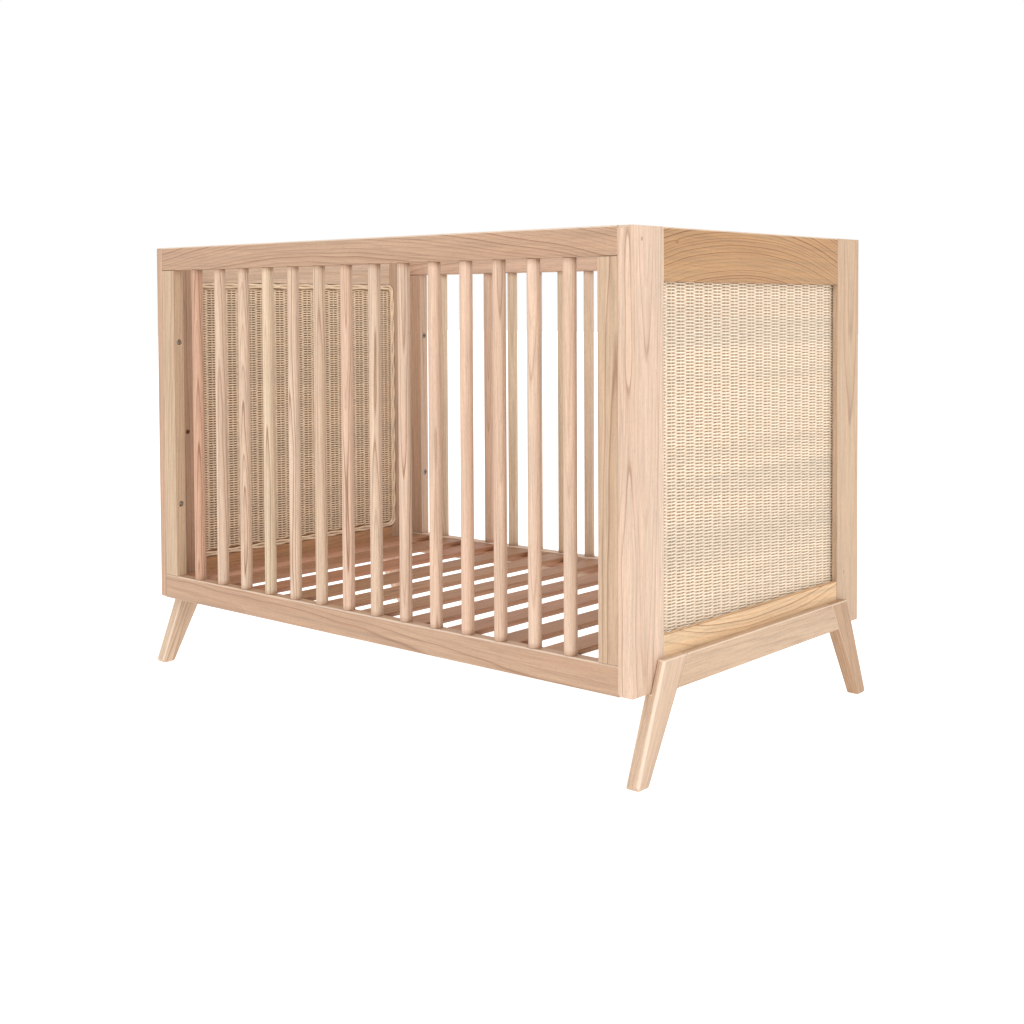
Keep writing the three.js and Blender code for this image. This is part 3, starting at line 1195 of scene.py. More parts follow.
@dataclass
class SpindleRow:
    """The spindles of one side, each a turned rod between the rails.

    Attributes:
        side: The side that they belong to.
        nodes: The frame's nodes that they stand for, from left to right.
        characters: How each was cut.
        turns: How far each is turned about its length.
        sides: How many faces go round a spindle.
        rings: How many rings of vertices it has along its length.
        joint: How far the painted contact shadow reaches from each end, where the spindle meets a rail.
        joint_shade: How dark the painted contact shadow is at the end.
    """

    side: Side
    nodes: list[str]
    characters: list[Character]
    turns: list[float]
    sides: int = 32
    rings: int = 136
    joint: float = 10.0 * MM
    joint_shade: float = 1.0

    def shape(self, material: bpy.types.Material) -> bpy.types.Object:
        """Turns the spindles.

        Args:
            material: Their wood.

        Returns:
            The row as one piece.
        """
        boxes = [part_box(node) for node in self.nodes]
        low, high = boxes[0]
        places = [tuple((a + b) / 2) for a, b in boxes]
        turned = [(0.0, 0.0, turn) for turn in self.turns]
        points = point_mesh("spindle_points", places, turn=turned, **grain_fields(self.characters))
        bower = Bower("spindle_row")
        length = bower.size("Length", high.z - low.z)
        radius = bower.size("Radius", (high.x - low.x) / 2)
        half = length * 0.5
        path = bower.straight(bower.vector(0.0, 0.0, 0.0 - half), bower.vector(0.0, 0.0, half))
        fine = bower.wire(bower.node("GeometryNodeResampleCurve", {}, {"Curve": path, "Count": self.rings}))
        rod = bower.sweep(fine, bower.circle(radius, self.sides), True)
        x, y, z = bower.parts(bower.position())
        rod = bower.store(rod, "grain", bower.vector(z, x, y))
        # Painted contact shadow at both ends of each spindle, where it meets the rails.
        joint = bower.size("Joint", self.joint)
        end_shadow = ((z.math("ABSOLUTE") - half) / joint + 1.0).math("MAXIMUM", 0.0)
        rod = bower.store(rod, "edge", bower.vector(end_shadow * -self.joint_shade, 0.0, 0.0))
        row = bower.instance(bower.start(), rod, bower.field("turn"))
        whole = bower.wire(bower.node("GeometryNodeRealizeInstances", {}, {0: row}))
        whole = bower.smooth(lay_grain(bower, whole), flat_ends=True)
        return bower.run(whole, f"spindles_{self.side.word}", points, material)


@dataclass
class SlatRow:
    """The slats of the mattress base, with eased arrises.

    Attributes:
        count: How many slats there are.
        width: A slat's width.
        thickness: A slat's thickness.
        ease: The radius of a slat's arrises.
    """

    count: int = 11
    width: float = 58 * MM
    thickness: float = 10 * MM
    ease: float = 2.2 * MM

    def shape(self, characters: Sequence[Character], material: bpy.types.Material) -> bpy.types.Object:
        """Lays the slats across the base.

        Args:
            characters: How each slat was cut.
            material: Their wood.

        Returns:
            The slats as one piece.
        """
        low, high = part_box("slat_deck")
        pitch = (high.x - low.x - self.width) / (self.count - 1)
        height = high.z - self.thickness / 2
        places = [(low.x + self.width / 2 + index * pitch, 0.0, height) for index in range(self.count)]
        points = point_mesh("slat_points", places, **grain_fields(characters))
        bower = Bower("slat_row")
        length = bower.size("Length", high.y - low.y)
        width = bower.size("Width", self.width)
        thickness = bower.size("Thickness", self.thickness)
        ease = bower.size("Ease", self.ease)
        sides = {"Width": width, "Height": thickness}
        section = bower.node("GeometryNodeCurvePrimitiveQuadrilateral", {}, sides)
        fillet_inputs = {"Curve": section.outputs[0], "Radius": ease, "Count": 3}
        eased = bower.node("GeometryNodeFilletCurve", {"mode": "POLY"}, fillet_inputs)
        path = bower.straight((0.0, 0.0, 0.0), bower.vector(0.0, 0.0, length))
        slat = bower.sweep(path, eased.outputs[0], True)
        x, y, z = bower.parts(bower.position())
        slat = bower.wire(bower.node("GeometryNodeSetPosition", {}, {
            "Geometry": slat, "Position": bower.vector(x, z - length * 0.5, 0.0 - y)}))
        x, y, z = bower.parts(bower.position())
        slat = bower.store(slat, "grain", bower.vector(y, x, z))
        row = bower.instance(bower.start(), slat)
        whole = bower.wire(bower.node("GeometryNodeRealizeInstances", {}, {0: row}))
        piece = bower.run(lay_grain(bower, whole), "slats", points, material)
        smooth_by_angle(piece)
        return piece


@dataclass
class CanePanel:
    """One woven panel: round cane woven over upright stakes, with a doubled cane border.

    Attributes:
        end: The end that it fills.
        intervals: How many gaps there are between stakes, an even number.
        row_pitch: From one row of weaving to the next.
        strand_radius: The radius of the woven cane.
        stake_radius: The radius of a stake.
        rim_radius: The radius of the cane in the border.
        groove: The gap between the border and the first row.
        core_thickness: The thickness of the flat core between the stakes, a sheet whose dark colour is
            painted shade in the gaps of the weave.
        tightness: How far a strand swings out round a stake, 1 for just touching it.
        lip_gap: The air between the weave and the lip that holds it.
        wobble: How far the border's canes sway as they wind past each other.
        windings: How often they wind round the whole border.
        samples: How many steps a strand takes from stake to stake.
        corner_radius: The radius of the panel's corners.
        core_radius: The radius of the cane behind the border.
        winding_steps: How many steps a cane takes in each winding.
        row_stray: How far a row strays from its place, up or down.
        seed: What the rows' tones and places are drawn from.
    """

    end: End
    intervals: int = 22
    row_pitch: float = 2.7 * MM
    strand_radius: float = 1.6 * MM
    stake_radius: float = 2.1 * MM
    rim_radius: float = 2.9 * MM
    groove: float = 1.6 * MM
    core_thickness: float = 0.5 * MM
    tightness: float = 0.86
    lip_gap: float = 0.2 * MM
    wobble: float = 0.85 * MM
    windings: int = 44
    samples: int = 3
    corner_radius: float = 21.7 * MM
    core_radius: float = 4.4 * MM
    winding_steps: int = 12
    row_stray: float = 0.1 * MM
    seed: int = 41

    @property
    def node(self) -> str:
        """The frame's node that the panel stands for."""
        return f"rattan_panel_{self.end.word}"

    @classmethod
    def middle_plane(cls, end: End) -> float:
        """How far the middle of the weave lies from the middle of the crib, with strands that just touch."""
        low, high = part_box(cls(end).node)
        return max(abs(low.x), abs(high.x)) - cls.lip_gap - 2 * cls.strand_radius - cls.stake_radius

    def weave(self, material: bpy.types.Material) -> bpy.types.Object:
        """Weaves the panel.

        Args:
            material: The cane.

        Returns:
            The strands and stakes as one piece.
        """
        low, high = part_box(self.node)
        sign = self.end.value
        swing = (self.strand_radius + self.stake_radius) * self.tightness
        plane = sign * self.middle_plane(self.end)
        border = 2 * self.rim_radius
        width = high.y - low.y - border
        first_row = 2 * border + self.groove + self.strand_radius
        bottom, top = low.z + first_row, high.z - first_row
        points = self._row_points(plane, bottom, top)

        bower = Bower("cane_weave")
        span = bower.size("Width", width)
        pitch = bower.size("Stake Pitch", width / self.intervals)
        strand = bower.size("Strand Radius", self.strand_radius)
        stake = bower.size("Stake Radius", self.stake_radius)
        reach = bower.size("Swing", swing)
        tall = bower.size("Height", top - bottom)
        middle = bower.size("Middle", (plane, 0.0, (top + bottom) / 2), "NodeSocketVector")
        half = span * 0.5
        line = bower.straight(bower.vector(0.0, 0.0 - half, 0.0), bower.vector(0.0, half, 0.0))
        count = self.intervals * self.samples + 1
        path = bower.wire(bower.node("GeometryNodeResampleCurve", {}, {"Curve": line, "Count": count}))
        x, y, z = bower.parts(bower.position())
        wave = (y * math.pi / pitch).math("COSINE") * reach
        path = bower.wire(bower.node("GeometryNodeSetPosition", {}, {
            "Geometry": path, "Position": bower.vector(wave, y, z)}))
        shape = bower.smooth(bower.sweep(path, bower.circle(strand, 6), False))
        parity = bower.parts(bower.field("strand"))[1]
        woven = bower.instance(bower.start(), shape, bower.vector(0.0, 0.0, parity * math.pi))

        stakes = self.intervals + 1
        first = bower.vector(0.0, 0.0 - half, 0.0)
        line_inputs = {"Count": stakes, "Start Location": first, "Offset": bower.vector(0.0, pitch, 0.0)}
        feet = bower.node("GeometryNodeMeshLine", {"mode": "OFFSET"}, line_inputs)
        rod = bower.straight(bower.vector(0.0, 0.0, tall * -0.5), bower.vector(0.0, 0.0, tall * 0.5))
        rod = bower.smooth(bower.sweep(rod, bower.circle(stake, 8), True))
        upright = bower.instance(feet.outputs[0], rod)
        upright = bower.wire(bower.node("GeometryNodeTransform", {}, {0: upright, "Translation": middle}))
        upright = bower.wire(bower.node("GeometryNodeRealizeInstances", {}, {0: upright}))
        upright = bower.store(upright, "strand", (0.55, 0.0, 0.0))
        # A flat core sheet behind the strands; its dark colour is painted shade in the gaps of the weave.
        core_size = bower.vector(self.core_thickness, span, tall)
        core = bower.wire(bower.node("GeometryNodeMeshCube", {}, {"Size": core_size}))
        core = bower.wire(bower.node("GeometryNodeTransform", {}, {0: core, "Translation": middle}))
        core = bower.store(core, "strand", (1.0, 0.0, 1.0))
        return bower.run(bower.join(woven, upright, core), f"{self.node}_weave", points, material)

    def _row_points(self, plane: float, bottom: float, top: float) -> bpy.types.Mesh:
        """One point for each row of weaving, with a tone that drifts from row to row.

        Args:
            plane: Where the middle of the weave lies along X.
            bottom: The height of the lowest row.
            top: The height of the highest row.

        Returns:
            The points. Their "strand" vectors hold the tone and 1 for every other row.
        """
        rows = int((top - bottom) / self.row_pitch)
        draw = random.Random(self.seed + self.end.value)
        places = []
        tones = []
        drift = 0.0
        for row in range(rows + 1):
            drift = 0.85 * drift + draw.uniform(-0.06, 0.06)
            height = bottom + (top - bottom) * row / rows
            places.append((plane, 0.0, height + draw.uniform(-self.row_stray, self.row_stray)))
            tone = 0.35 + drift + draw.uniform(-0.2, 0.2)
            tones.append((min(1.0, max(0.0, tone)), float(row % 2), 0.0))
        return point_mesh("weave_rows", places, strand=tones)

    def border(self, material: bpy.types.Material) -> bpy.types.Object:
        """Binds the panel's edge with two canes side by side and a core behind them.

        Args:
            material: The cane.

        Returns:
            The border as one piece.
        """
        low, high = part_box(self.node)
        sign = self.end.value
        face = min(abs(low.x), abs(high.x))
        rim = self.rim_radius
        core = self.core_radius
        back = max(abs(low.x), abs(high.x))
        canes = [
            (face + rim * 1.02, rim * 1.05, rim, 0.25),
            (face + rim * 1.02, rim * 2.95, rim * 0.92, 0.5),
            (back - core * 1.05, core * 1.02, core, 0.6),
        ]
        bower = Bower("cane_border")
        width = bower.size("Width", high.y - low.y)
        height = bower.size("Height", high.z - low.z)
        corner = bower.size("Corner Radius", self.corner_radius)
        wobble = bower.size("Wobble", self.wobble)
        middle = bower.size("Middle Height", (low.z + high.z) / 2)
        loops = []
        for index, (depth, inset, radius, tone) in enumerate(canes):
            outline = bower.node("GeometryNodeCurvePrimitiveQuadrilateral", {}, {
                "Width": width - 2 * inset, "Height": height - 2 * inset})
            rounded = bower.node("GeometryNodeFilletCurve", {"mode": "POLY"}, {
                "Curve": outline.outputs[0], "Radius": corner - inset, "Count": 8})
            steps = {"Curve": rounded.outputs[0], "Count": self.windings * self.winding_steps}
            fine = bower.node("GeometryNodeResampleCurve", {}, steps)
            x, y, _ = bower.parts(bower.position())
            run_x, run_y, _ = bower.parts(bower.wire(bower.node("GeometryNodeInputTangent")))
            travelled = bower.wire(bower.node("GeometryNodeSplineParameter"), "Factor")
            turn = travelled * (math.tau * self.windings) + math.pi * index
            sway = turn.math("COSINE") * wobble
            shaken = bower.node("GeometryNodeSetPosition", {}, {
                "Geometry": fine.outputs[0],
                "Position": bower.vector(
                    turn.math("SINE") * wobble + sign * depth, x - run_y * sway, y + run_x * sway + middle
                )})
            tube = bower.smooth(bower.sweep(shaken.outputs[0], bower.circle(radius, 8), False))
            loops.append(bower.store(tube, "strand", (tone, 0.0, 0.0)))
        seed_points = point_mesh("border_start", [(0.0, 0.0, 0.0)])
        return bower.run(bower.join(*loops), f"{self.node}_border", seed_points, material)


@dataclass
class BoltSet:
    """The bolts that hold the sides to the ends: socket heads sunk in the stiles.

    Attributes:
        heights: How high the bolts are above the underside of the end panels.
        head_radius: The radius of a head.
        head_height: The height of a head.
        socket_radius: The radius of the six-sided socket, across its corners.
        socket_depth: How deep the socket is.
        recess: How deep the face of a head lies under the stile's edge.
        rim: The bevel round a head's face.
        steps: How many faces go round a head, a multiple of six.
    """

    heights: tuple[float, ...] = (203 * MM, 545 * MM)
    head_radius: float = 4.5 * MM
    head_height: float = 5.2 * MM
    socket_radius: float = 2.7 * MM
    socket_depth: float = 3.0 * MM
    recess: float = 3.2 * MM
    rim: float = 0.5 * MM
    steps: int = 24

    def head(self) -> bpy.types.Object:
        """One bolt head that looks along +X, with a bevelled rim and a six-sided socket."""
        form = bmesh.new()
        angles = [math.tau * step / self.steps for step in range(self.steps)]
        six_sided = [self._socket_reach(angle) for angle in angles]
        profile = [
            (-self.head_height, [self.head_radius] * self.steps),
            (-self.rim, [self.head_radius] * self.steps),
            (0.0, [self.head_radius - self.rim] * self.steps),
            (0.0, six_sided),
            (-self.socket_depth, six_sided),
        ]
        loops = []
        for depth, reaches in profile:
            loops.append([
                form.verts.new((depth, reach * math.cos(angle), reach * math.sin(angle)))
                for reach, angle in zip(reaches, angles)
            ])
        for lower, upper in zip(loops, loops[1:]):
            for i in range(self.steps):
                j = (i + 1) % self.steps
                form.faces.new((lower[i], lower[j], upper[j], upper[i]))
        form.faces.new(list(reversed(loops[0])))
        form.faces.new(loops[-1])
        bmesh.ops.recalc_face_normals(form, faces=form.faces)
        return link_form(form, "bolt_head")

    def _socket_reach(self, angle: float) -> float:
        """How far the socket's wall is from its middle, at an angle round it."""
        sector = (angle % (math.tau / 6)) - math.tau / 12
        return self.socket_radius * math.cos(math.tau / 12) / math.cos(sector)

    def shape(self, material: bpy.types.Material) -> bpy.types.Object:
        """Puts a bolt head in each hole of the stiles.

        Args:
            material: The steel.

        Returns:
            The bolts as one piece.
        """
        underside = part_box("post_front_left")[0].z
        places = []
        turns = []
        for side in Side:
            for end in End:
                low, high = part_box(f"stile_{side.word}_{end.word}")
                edge = min(abs(low.x), abs(high.x)) + self.recess
                for height in self.heights:
                    places.append((end.value * edge, (low.y + high.y) / 2, underside + height))
                    turns.append((0.4 * len(turns), 0.0, math.pi if end is End.RIGHT else 0.0))
        points = point_mesh("bolt_points", places, turn=turns)
        bower = Bower("bolt_set")
        head = self.head()
        shape = bower.size("Head", head, "NodeSocketObject")
        loaded = bower.node("GeometryNodeObjectInfo", {}, {"Object": shape})
        placed = bower.instance(bower.start(), bower.wire(loaded, "Geometry"), bower.field("turn"))
        piece = bower.run(placed, "side_bolts", points, material)
        bpy.data.objects.remove(head)
        smooth_by_angle(piece)
        return piece


@dataclass
class PinSet:
    """The pins that carry the base, with domed ends.

    Attributes:
        dome: How long the rounded stretch at an end is.
        roundness: How round it is, 1 for a ball and 0 for flat.
        sides: How many faces go round a pin.
        rings: How many rings of vertices it has along its length.
    """

    dome: float = 1.6 * MM
    roundness: float = 0.6
    sides: int = 28
    rings: int = 60

    def shape(self, material: bpy.types.Material) -> bpy.types.Object:
        """Makes the four pins.

        Args:
            material: The steel.

        Returns:
            The pins as one piece.
        """
        boxes = [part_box(node) for node in self.nodes()]
        low, high = boxes[0]
        radius = (high.z - low.z) / 2
        length = high.x - low.x
        places = [tuple((a + b) / 2) for a, b in boxes]
        turns = [(0.0, 0.0, 0.0 if place[0] > 0 else math.pi) for place in places]
        points = point_mesh("pin_points", places, turn=turns)
        bower = Bower("pin_set")
        long = bower.size("Length", length)
        thick = bower.size("Radius", radius)
        dome = bower.size("Dome", self.dome)
        path = bower.straight(bower.vector(long * -0.5, 0.0, 0.0), bower.vector(long * 0.5, 0.0, 0.0))
        fine = bower.wire(bower.node("GeometryNodeResampleCurve", {}, {"Curve": path, "Count": self.rings}))
        x, _, _ = bower.parts(bower.position())
        into = (dome - (long * 0.5 - x.math("ABSOLUTE"))).math("MAXIMUM", 0.0) / dome
        swell = (1.0 - into * into * self.roundness).math("SQRT")
        rod = bower.sweep(fine, bower.circle(thick, self.sides), True, swell)
        placed = bower.instance(bower.start(), rod, bower.field("turn"))
        piece = bower.run(placed, "support_pins", points, material)
        smooth_by_angle(piece)
        return piece

    @staticmethod
    def nodes() -> list[str]:
        """The frame's nodes that the pins stand for."""
        return [f"support_pin_{side.word}_{end.word}" for side in Side for end in End]


# ---- Sub-assemblies -------------------------------------------------------------------------------

ALONG_X = Vector((1, 0, 0))
ALONG_Y = Vector((0, 1, 0))
ALONG_Z = Vector((0, 0, 1))


@dataclass
class Palette:
    """The crib's materials, made once."""

    pale: bpy.types.Material
    end_rail: bpy.types.Material
    base: bpy.types.Material
    cane: bpy.types.Material
    steel: bpy.types.Material

    @classmethod
    def mixed(cls) -> "Palette":
        """Makes every material."""
        pale = WoodFinish("pale_wood", (0.735, 0.58, 0.445), (0.62, 0.45, 0.325), (0.34, 0.19, 0.11))
        warm = WoodFinish("end_rail_wood", (0.765, 0.56, 0.345), (0.635, 0.39, 0.20), (0.27, 0.11, 0.04))
        base = WoodFinish("base_wood", (0.50, 0.282, 0.162), (0.375, 0.190, 0.100), (0.16, 0.07, 0.035))
        return cls(
            pale=pale.material(),
            end_rail=warm.material(),
            base=base.material(),
            cane=CaneFinish(middle=CanePanel.middle_plane(End.RIGHT)).material(),
            steel=SteelFinish().material(),
        )


@dataclass
class EndPanel:
    """One end of the crib: two posts, two rails, the woven panel and the leg frame.

    Attributes:
        end: Which end it is.
        palette: The materials.
        leg_lean: How far the grain of a leg leans from upright.
    """

    end: End
    palette: Palette
    leg_lean: float = math.radians(25)

    def build(self) -> None:
        """Builds and hands over every piece of the end."""
        outward = ALONG_X * self.end.value
        word = self.end.word
        for side in Side:
            corner = f"{side.word}_{word}"
            self._board(f"post_{corner}", Arris.POST, ALONG_Z, outward, Slot.PALE_WOOD, has_holes=True)
            lean = Vector((0, side.value * math.sin(self.leg_lean), -math.cos(self.leg_lean)))
            self._board(f"leg_{corner}", Arris.LEG, lean, outward, Slot.PALE_WOOD)
        wood = self.palette.end_rail if self.end is End.RIGHT else self.palette.pale
        self._board(
            f"end_top_rail_{word}", Arris.END_TOP_RAIL, ALONG_Y, outward, Slot.END_RAIL_WOOD, wood=wood
        )
        self._board(f"end_bottom_rail_{word}", Arris.END_BOTTOM_RAIL, ALONG_Y, outward, Slot.END_RAIL_WOOD)
        self._board(f"cross_rail_{word}", Arris.CROSS_RAIL, ALONG_Y, outward, Slot.PALE_WOOD)
        panel = CanePanel(self.end)
        weave = panel.weave(self.palette.cane)
        hand_over(weave, Body.FRAME, [panel.node], self.palette.cane)
        border = panel.border(self.palette.cane)
        hand_over(border, Body.FRAME, [panel.node], self.palette.cane)

    def _board(
        self,
        node: str,
        arris: Arris,
        along: Vector,
        face: Vector,
        slot: Slot,
        has_holes: bool = False,
        wood: bpy.types.Material | None = None,
    ) -> None:
        """Cuts one board of the end and hands it over.

        Args:
            node: The frame's node that it stands for.
            arris: Which of its edges are rounded.
            along: The direction of its grain.
            face: The direction that its broad face looks.
            slot: The record's slot for its wood.
            has_holes: Whether its inner face has holes.
            wood: Its wood, where it isn't the usual one for the slot.
        """
        usual = self.palette.end_rail if slot is Slot.END_RAIL_WOOD else self.palette.pale
        board = Board(node, arris, along, face, character_of(node), has_holes)
        hand_over(board.shape(), Body.FRAME, [node], wood or usual)


@dataclass
class SpindleSide:
    """One long side: two rails, two stiles and the spindles.

    Attributes:
        side: Which side it is.
        palette: The materials.
        count: How many spindles it has.
        turn: How far a spindle is turned about its length, so that its figure shows.
        turn_spread: How much that differs from one spindle to the next.
    """

    side: Side
    palette: Palette
    count: int = 14
    turn: float = 0.65
    turn_spread: float = 0.4

    def build(self) -> None:
        """Builds and hands over every piece of the side."""
        word = self.side.word
        outward = ALONG_Y * self.side.value
        for level in ("top", "bottom"):
            node = f"{level}_rail_{word}"
            board = Board(node, Arris.SIDE_RAIL, ALONG_X, outward, character_of(node))
            hand_over(board.shape(), Body.FRAME, [node], self.palette.pale)
        for end in End:
            node = f"stile_{word}_{end.word}"
            board = Board(node, Arris.STILE, ALONG_Z, outward, character_of(node), has_holes=True)
            hand_over(board.shape(), Body.FRAME, [node], self.palette.pale)
        nodes = [f"spindle_{word}_{number:02d}" for number in range(1, self.count + 1)]
        draw = random.Random(self.side.value + 7)
        turns = [self.turn + draw.uniform(-self.turn_spread, self.turn_spread) for _ in nodes]
        characters = [character_of(node) for node in nodes]
        row = SpindleRow(self.side, nodes, characters, turns)
        hand_over(row.shape(self.palette.pale), Body.FRAME, nodes, self.palette.pale)


@dataclass
class MattressBase:
    """The lifting base: slats on two long rails, with a rail at each end.

    Attributes:
        palette: The materials.
        rail_width: The width of a long rail.
        rail_thickness: The thickness of a long rail.
        rail_ease: The radius of a long rail's arrises.
        slat_gap: The air between a long rail and the slats.
        slats: The slats.
    """

    palette: Palette
    rail_width: float = 35 * MM
    rail_thickness: float = 15 * MM
    rail_ease: float = 1.6 * MM
    slat_gap: float = 0.1 * MM
    slats: SlatRow = field(default_factory=SlatRow)

    def build(self) -> None:
        """Builds and hands over every piece of the base."""
        characters = [
            random_character(300 + index, 0.45, 0.3) for index in range(self.slats.count)
        ]
        slats = self.slats.shape(characters, self.palette.base)
        hand_over(slats, Body.BASE, ["slat_deck"], self.palette.base)
        for side in Side:
            rail = self._long_rail(side)
            hand_over(rail, Body.BASE, ["slat_deck"], self.palette.base)
        for end in End:
            node = f"base_end_rail_{end.word}"
            board = Board(node, Arris.BASE_RAIL, ALONG_Y, ALONG_Z, character_of(node))
            hand_over(board.shape(), Body.BASE, [node], self.palette.base)

    def _long_rail(self, side: Side) -> bpy.types.Object:
        """One long rail under the slats.

        Args:
            side: The side that it is on.

        Returns:
            The rail as a new piece.
        """
        low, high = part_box("slat_deck")
        bottom = low.z
        outer = side.value * high.y
        inner = side.value * (high.y - self.rail_width)
        form = bmesh.new()
        bmesh.ops.create_cube(form, size=1.0)
        size = Vector((high.x - low.x, self.rail_width, self.rail_thickness - self.slat_gap))
        centre = Vector((0.0, (outer + inner) / 2, bottom + self.rail_thickness / 2))
        for vertex in form.verts:
            vertex.co = Vector(a * b for a, b in zip(vertex.co, size)) + centre
        piece = link_form(form, f"base_long_rail_{side.word}")
        bevel = piece.modifiers.new("arrises", "BEVEL")
        bevel.width = self.rail_ease
        bevel.segments = EDGE_SEGMENTS
        settle(piece)
        smooth_by_angle(piece)
        write_grain(piece.data, ALONG_X, ALONG_Z, random_character(330 + side.value, 0.3, 0.3))
        return piece


CHARACTERS: dict[str, Character] = {
    "post_front_right": Character(
        0.42, 0.16, 0.0, (-0.004, 0.024), (0.004, -0.026), 0.31, 1.0, 0.9, (0.351, 0.013, 2.4 * MM)
    ),
    "post_back_right": Character(
        0.12, 0.60, 0.0, (0.004, 0.05), (0.004, -0.02), 2.2, 0.8, 1.2, (-0.27, 0.018, 2.6 * MM)
    ),
    "end_top_rail_right": Character(
        0.06, 0.90, 0.50, (0.13, 0.012), (0.04, 0.01), 0.4, 1.7, 1.2, (-0.247, 0.021, 2.6 * MM)
    ),
    "end_bottom_rail_right": Character(0.28, 0.05, -0.5, (0.03, 0.03), (0.02, 0.02), 4.0, 1.5, 1.3),
    "end_top_rail_left": Character(0.3, 0.24, -0.2, (0.05, 0.02), (0.04, 0.01), 1.4, 0.7, 1.4),
    "stile_back_left": Character(0.45, 0.45, 0.0, (0.02, 0.04), (0.0, 0.02), 6.7, 0.9, 1.1),
    "post_back_left": Character(0.4, 0.58, 0.0, (0.01, 0.04), (0.0, 0.02), 4.4, 0.9, 1.1),
    "end_bottom_rail_left": Character(0.7, 0.60, 0.3, (0.02, 0.03), (0.02, 0.02), 3.4, 1.0, 1.3),
    "cross_rail_right": Character(0.15, 0.58, 0.0, (0.02, 0.05), (0.01, 0.02), 1.1, 0.8, 1.2),
    "leg_front_right": Character(0.3, 0.38, 0.0, (0.03, 0.07), (0.01, 0.01), 5.6, 0.9, 1.0),
    "leg_back_right": Character(0.15, 0.90, 0.0, (0.01, 0.05), (0.0, 0.03), 6.1, 1.0, 1.1),
    "leg_front_left": Character(0.15, 0.15, 0.0, (0.01, 0.05), (0.0, 0.03), 7.1, 1.0, 1.1),
    "top_rail_front": Character(0.4, 0.79, 0.16, (0.03, 0.018), (0.03, 0.012), 7.7, 1.7, 1.2),
    "bottom_rail_front": Character(0.4, 0.80, 0.0, (0.02, 0.05), (0.012, 0.01), 3.3, 1.0, 1.2),
    "stile_front_left": Character(0.05, 0.50, 0.0, (0.03, 0.05), (0.0, 0.02), 1.9, 1.1, 1.0),
    "stile_front_right": Character(0.2, 0.60, 0.0, (0.02, 0.04), (0.0, 0.02), 8.2, 1.3, 0.9),
    "stile_back_right": Character(0.45, 0.52, 0.0, (0.02, 0.04), (0.0, 0.02), 5.7, 1.0, 1.1),
    # Its darkness is partly the board's own tone and partly painted shade, for its shaded inner face.
    "post_front_left": Character(0.55, 0.62, 0.0, (0.02, 0.03), (0.0, 0.03), 2.9, 1.2, 1.0),
    "spindle_front_01": Character(0.85, 0.45, 0.0, (0.0, 0.020), (0.0, 0.03), 0.7, 2.0, 0.9),
    "spindle_front_02": Character(0.35, 0.18, 0.0, (0.006, 0.024), (0.03, 0.01), 1.2, 2.8, 1.1),
    "spindle_front_03": Character(0.35, 0.18, 0.0, (0.0, 0.022), (0.0, 0.05), 2.2, 3.0, 0.9),
    "spindle_front_04": Character(0.0, 0.02, 0.0, (0.0, 0.022), (0.0, 0.014), 3.7, 3.0, 0.7),
    "spindle_front_05": Character(0.3, 0.16, 0.0, (0.004, 0.03), (0.0, 0.006), 6.2, 2.4, 0.7),
    "spindle_front_06": Character(0.25, 0.24, 0.0, (0.0, 0.03), (0.01, 0.010), 5.2, 1.8, 1.1),
    "spindle_front_07": Character(0.6, 0.14, 0.0, (0.0, 0.024), (0.004, -0.02), 1.7, 1.9, 0.8),
    "spindle_front_08": Character(0.3, 0.20, 0.0, (0.0, 0.03), (0.0, 0.02), 4.7, 2.2, 0.9),
    "spindle_front_09": Character(0.45, 0.16, 0.0, (0.0, 0.026), (0.0, -0.015), 8.7, 2.0, 1.1),
    "spindle_front_10": Character(0.55, 0.25, 0.0, (0.0, 0.03), (0.0, 0.015), 2.7, 1.2, 1.0),
    "spindle_front_12": Character(0.5, 0.28, 0.0, (0.0, 0.028), (0.0, -0.02), 3.1, 1.4, 0.9),
}


def character_of(node: str) -> Character:
    """The chosen character of a board, or one of its own drawn from its name.

    Args:
        node: The frame's node that the board stands for.

    Returns:
        The character.
    """
    if node in CHARACTERS:
        return CHARACTERS[node]
    seed = sum((place + 1) * ord(letter) for place, letter in enumerate(node))
    if node.startswith("spindle_back"):
        return random_character(seed, 0.2, 0.0)
    return random_character(seed, 0.35, 0.2)


# ---- Studio ---------------------------------------------------------------------------------------


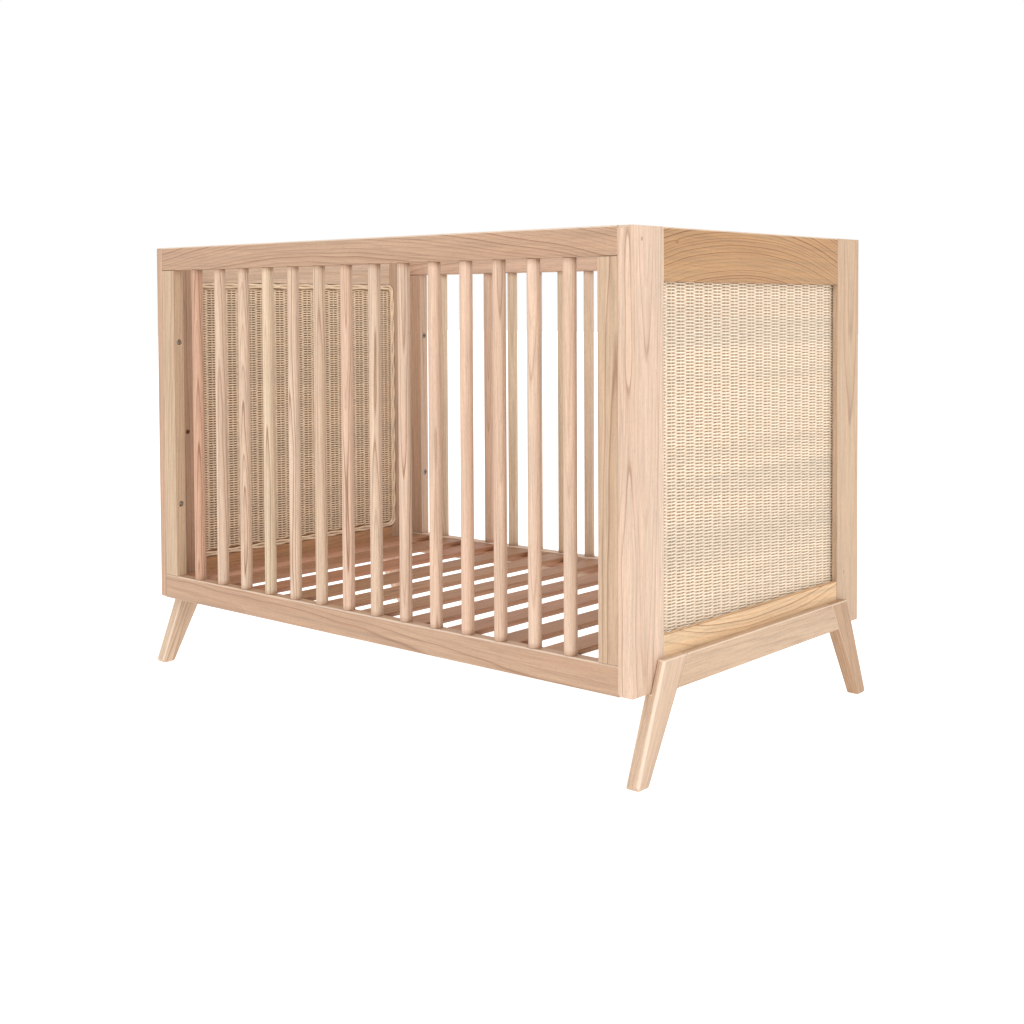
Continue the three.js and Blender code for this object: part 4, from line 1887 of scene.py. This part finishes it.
@dataclass
class Studio:
    """The camera, the floor and soft light.

    Attributes:
        eye: Where the camera stands.
        turn: How far it looks round to the left of +Y.
        rise: How far it looks up.
        roll: How far it is rolled.
        lens: The focal length, in millimetres.
        sensor: The sensor's width, in millimetres.
        shift: The sideways and upward shift of the view.
        sky: How bright the white surround is.
        aim: How high the point is that the lights look at.
    """

    eye: Triple = (1.9370, -2.1240, 0.7626)
    turn: float = 0.70555
    rise: float = -0.03625
    roll: float = -0.00436
    lens: float = 49.407
    sensor: float = 36.0
    shift: tuple[float, float] = (-0.02806, -0.15164)
    sky: float = 1.0
    aim: float = 0.45

    def camera(self) -> None:
        """Makes the camera."""
        data = bpy.data.cameras.new("camera")
        data.sensor_width = self.sensor
        data.lens = self.lens
        data.shift_x, data.shift_y = self.shift
        data.clip_end = 60.0
        forward = Vector((
            -math.sin(self.turn) * math.cos(self.rise),
            math.cos(self.turn) * math.cos(self.rise),
            math.sin(self.rise),
        ))
        level = forward.cross(Vector((0, 0, 1))).normalized()
        above = level.cross(forward)
        right = math.cos(self.roll) * level + math.sin(self.roll) * above
        up = -math.sin(self.roll) * level + math.cos(self.roll) * above
        turned = Matrix((right, up, -forward)).transposed().to_4x4()
        camera = bpy.data.objects.new("camera", data)
        camera.matrix_world = Matrix.Translation(self.eye) @ turned
        bpy.context.scene.collection.objects.link(camera)
        bpy.context.scene.camera = camera

    def floor(self) -> None:
        """Lays a plain pale floor."""
        form = bmesh.new()
        bmesh.ops.create_grid(form, x_segments=1, y_segments=1, size=30.0)
        floor = link_form(form, "floor")
        floor.data.materials.append(FloorFinish().material())

    def lights(self) -> None:
        """Sets a white surround and three soft lights."""
        world = bpy.data.worlds.new("studio")
        world.use_nodes = True
        bench = Bench(world.node_tree)
        backdrop = bench.node("ShaderNodeBackground", {}, {"Color": (1.0, 1.0, 1.0), "Strength": self.sky})
        bench.node("ShaderNodeOutputWorld", {}, {"Surface": backdrop.outputs[0]})
        bpy.context.scene.world = world
        self._light("key", (2.0, -4.2, 3.4), 2.6, 48.0)
        self._light("side", (4.2, -1.4, 2.4), 2.6, 26.0)
        self._light("top", (0.0, 0.2, 4.2), 3.4, 30.0)

    def _light(self, name: str, place: Triple, size: float, power: float) -> None:
        """Adds a square light that looks at the crib.

        Args:
            name: The light's name.
            place: Where it hangs.
            size: The length of its sides.
            power: Its power in watts.
        """
        data = bpy.data.lights.new(name, "AREA")
        data.size = size
        data.energy = power
        lamp = bpy.data.objects.new(name, data)
        towards = Vector((0.0, 0.0, self.aim)) - Vector(place)
        lamp.rotation_mode = "QUATERNION"
        lamp.rotation_quaternion = towards.to_track_quat("-Z", "Y")
        lamp.location = place
        bpy.context.scene.collection.objects.link(lamp)


FRAME: dict[str, Any] = {}


def main() -> None:
    """Builds the whole crib round the fixed frame."""
    logging.basicConfig(level=logging.INFO, format="%(name)s: %(message)s")
    FRAME.update(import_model())
    bpy.context.scene.view_settings.view_transform = "Standard"
    studio = Studio()
    studio.camera()
    studio.floor()
    studio.lights()
    palette = Palette.mixed()
    for end in End:
        EndPanel(end, palette).build()
    for side in Side:
        SpindleSide(side, palette).build()
    MattressBase(palette).build()
    hand_over(BoltSet().shape(palette.steel), Body.FRAME, [], palette.steel)
    hand_over(PinSet().shape(palette.steel), Body.FRAME, PinSet.nodes(), palette.steel)


if __name__ == "__main__":
    main()
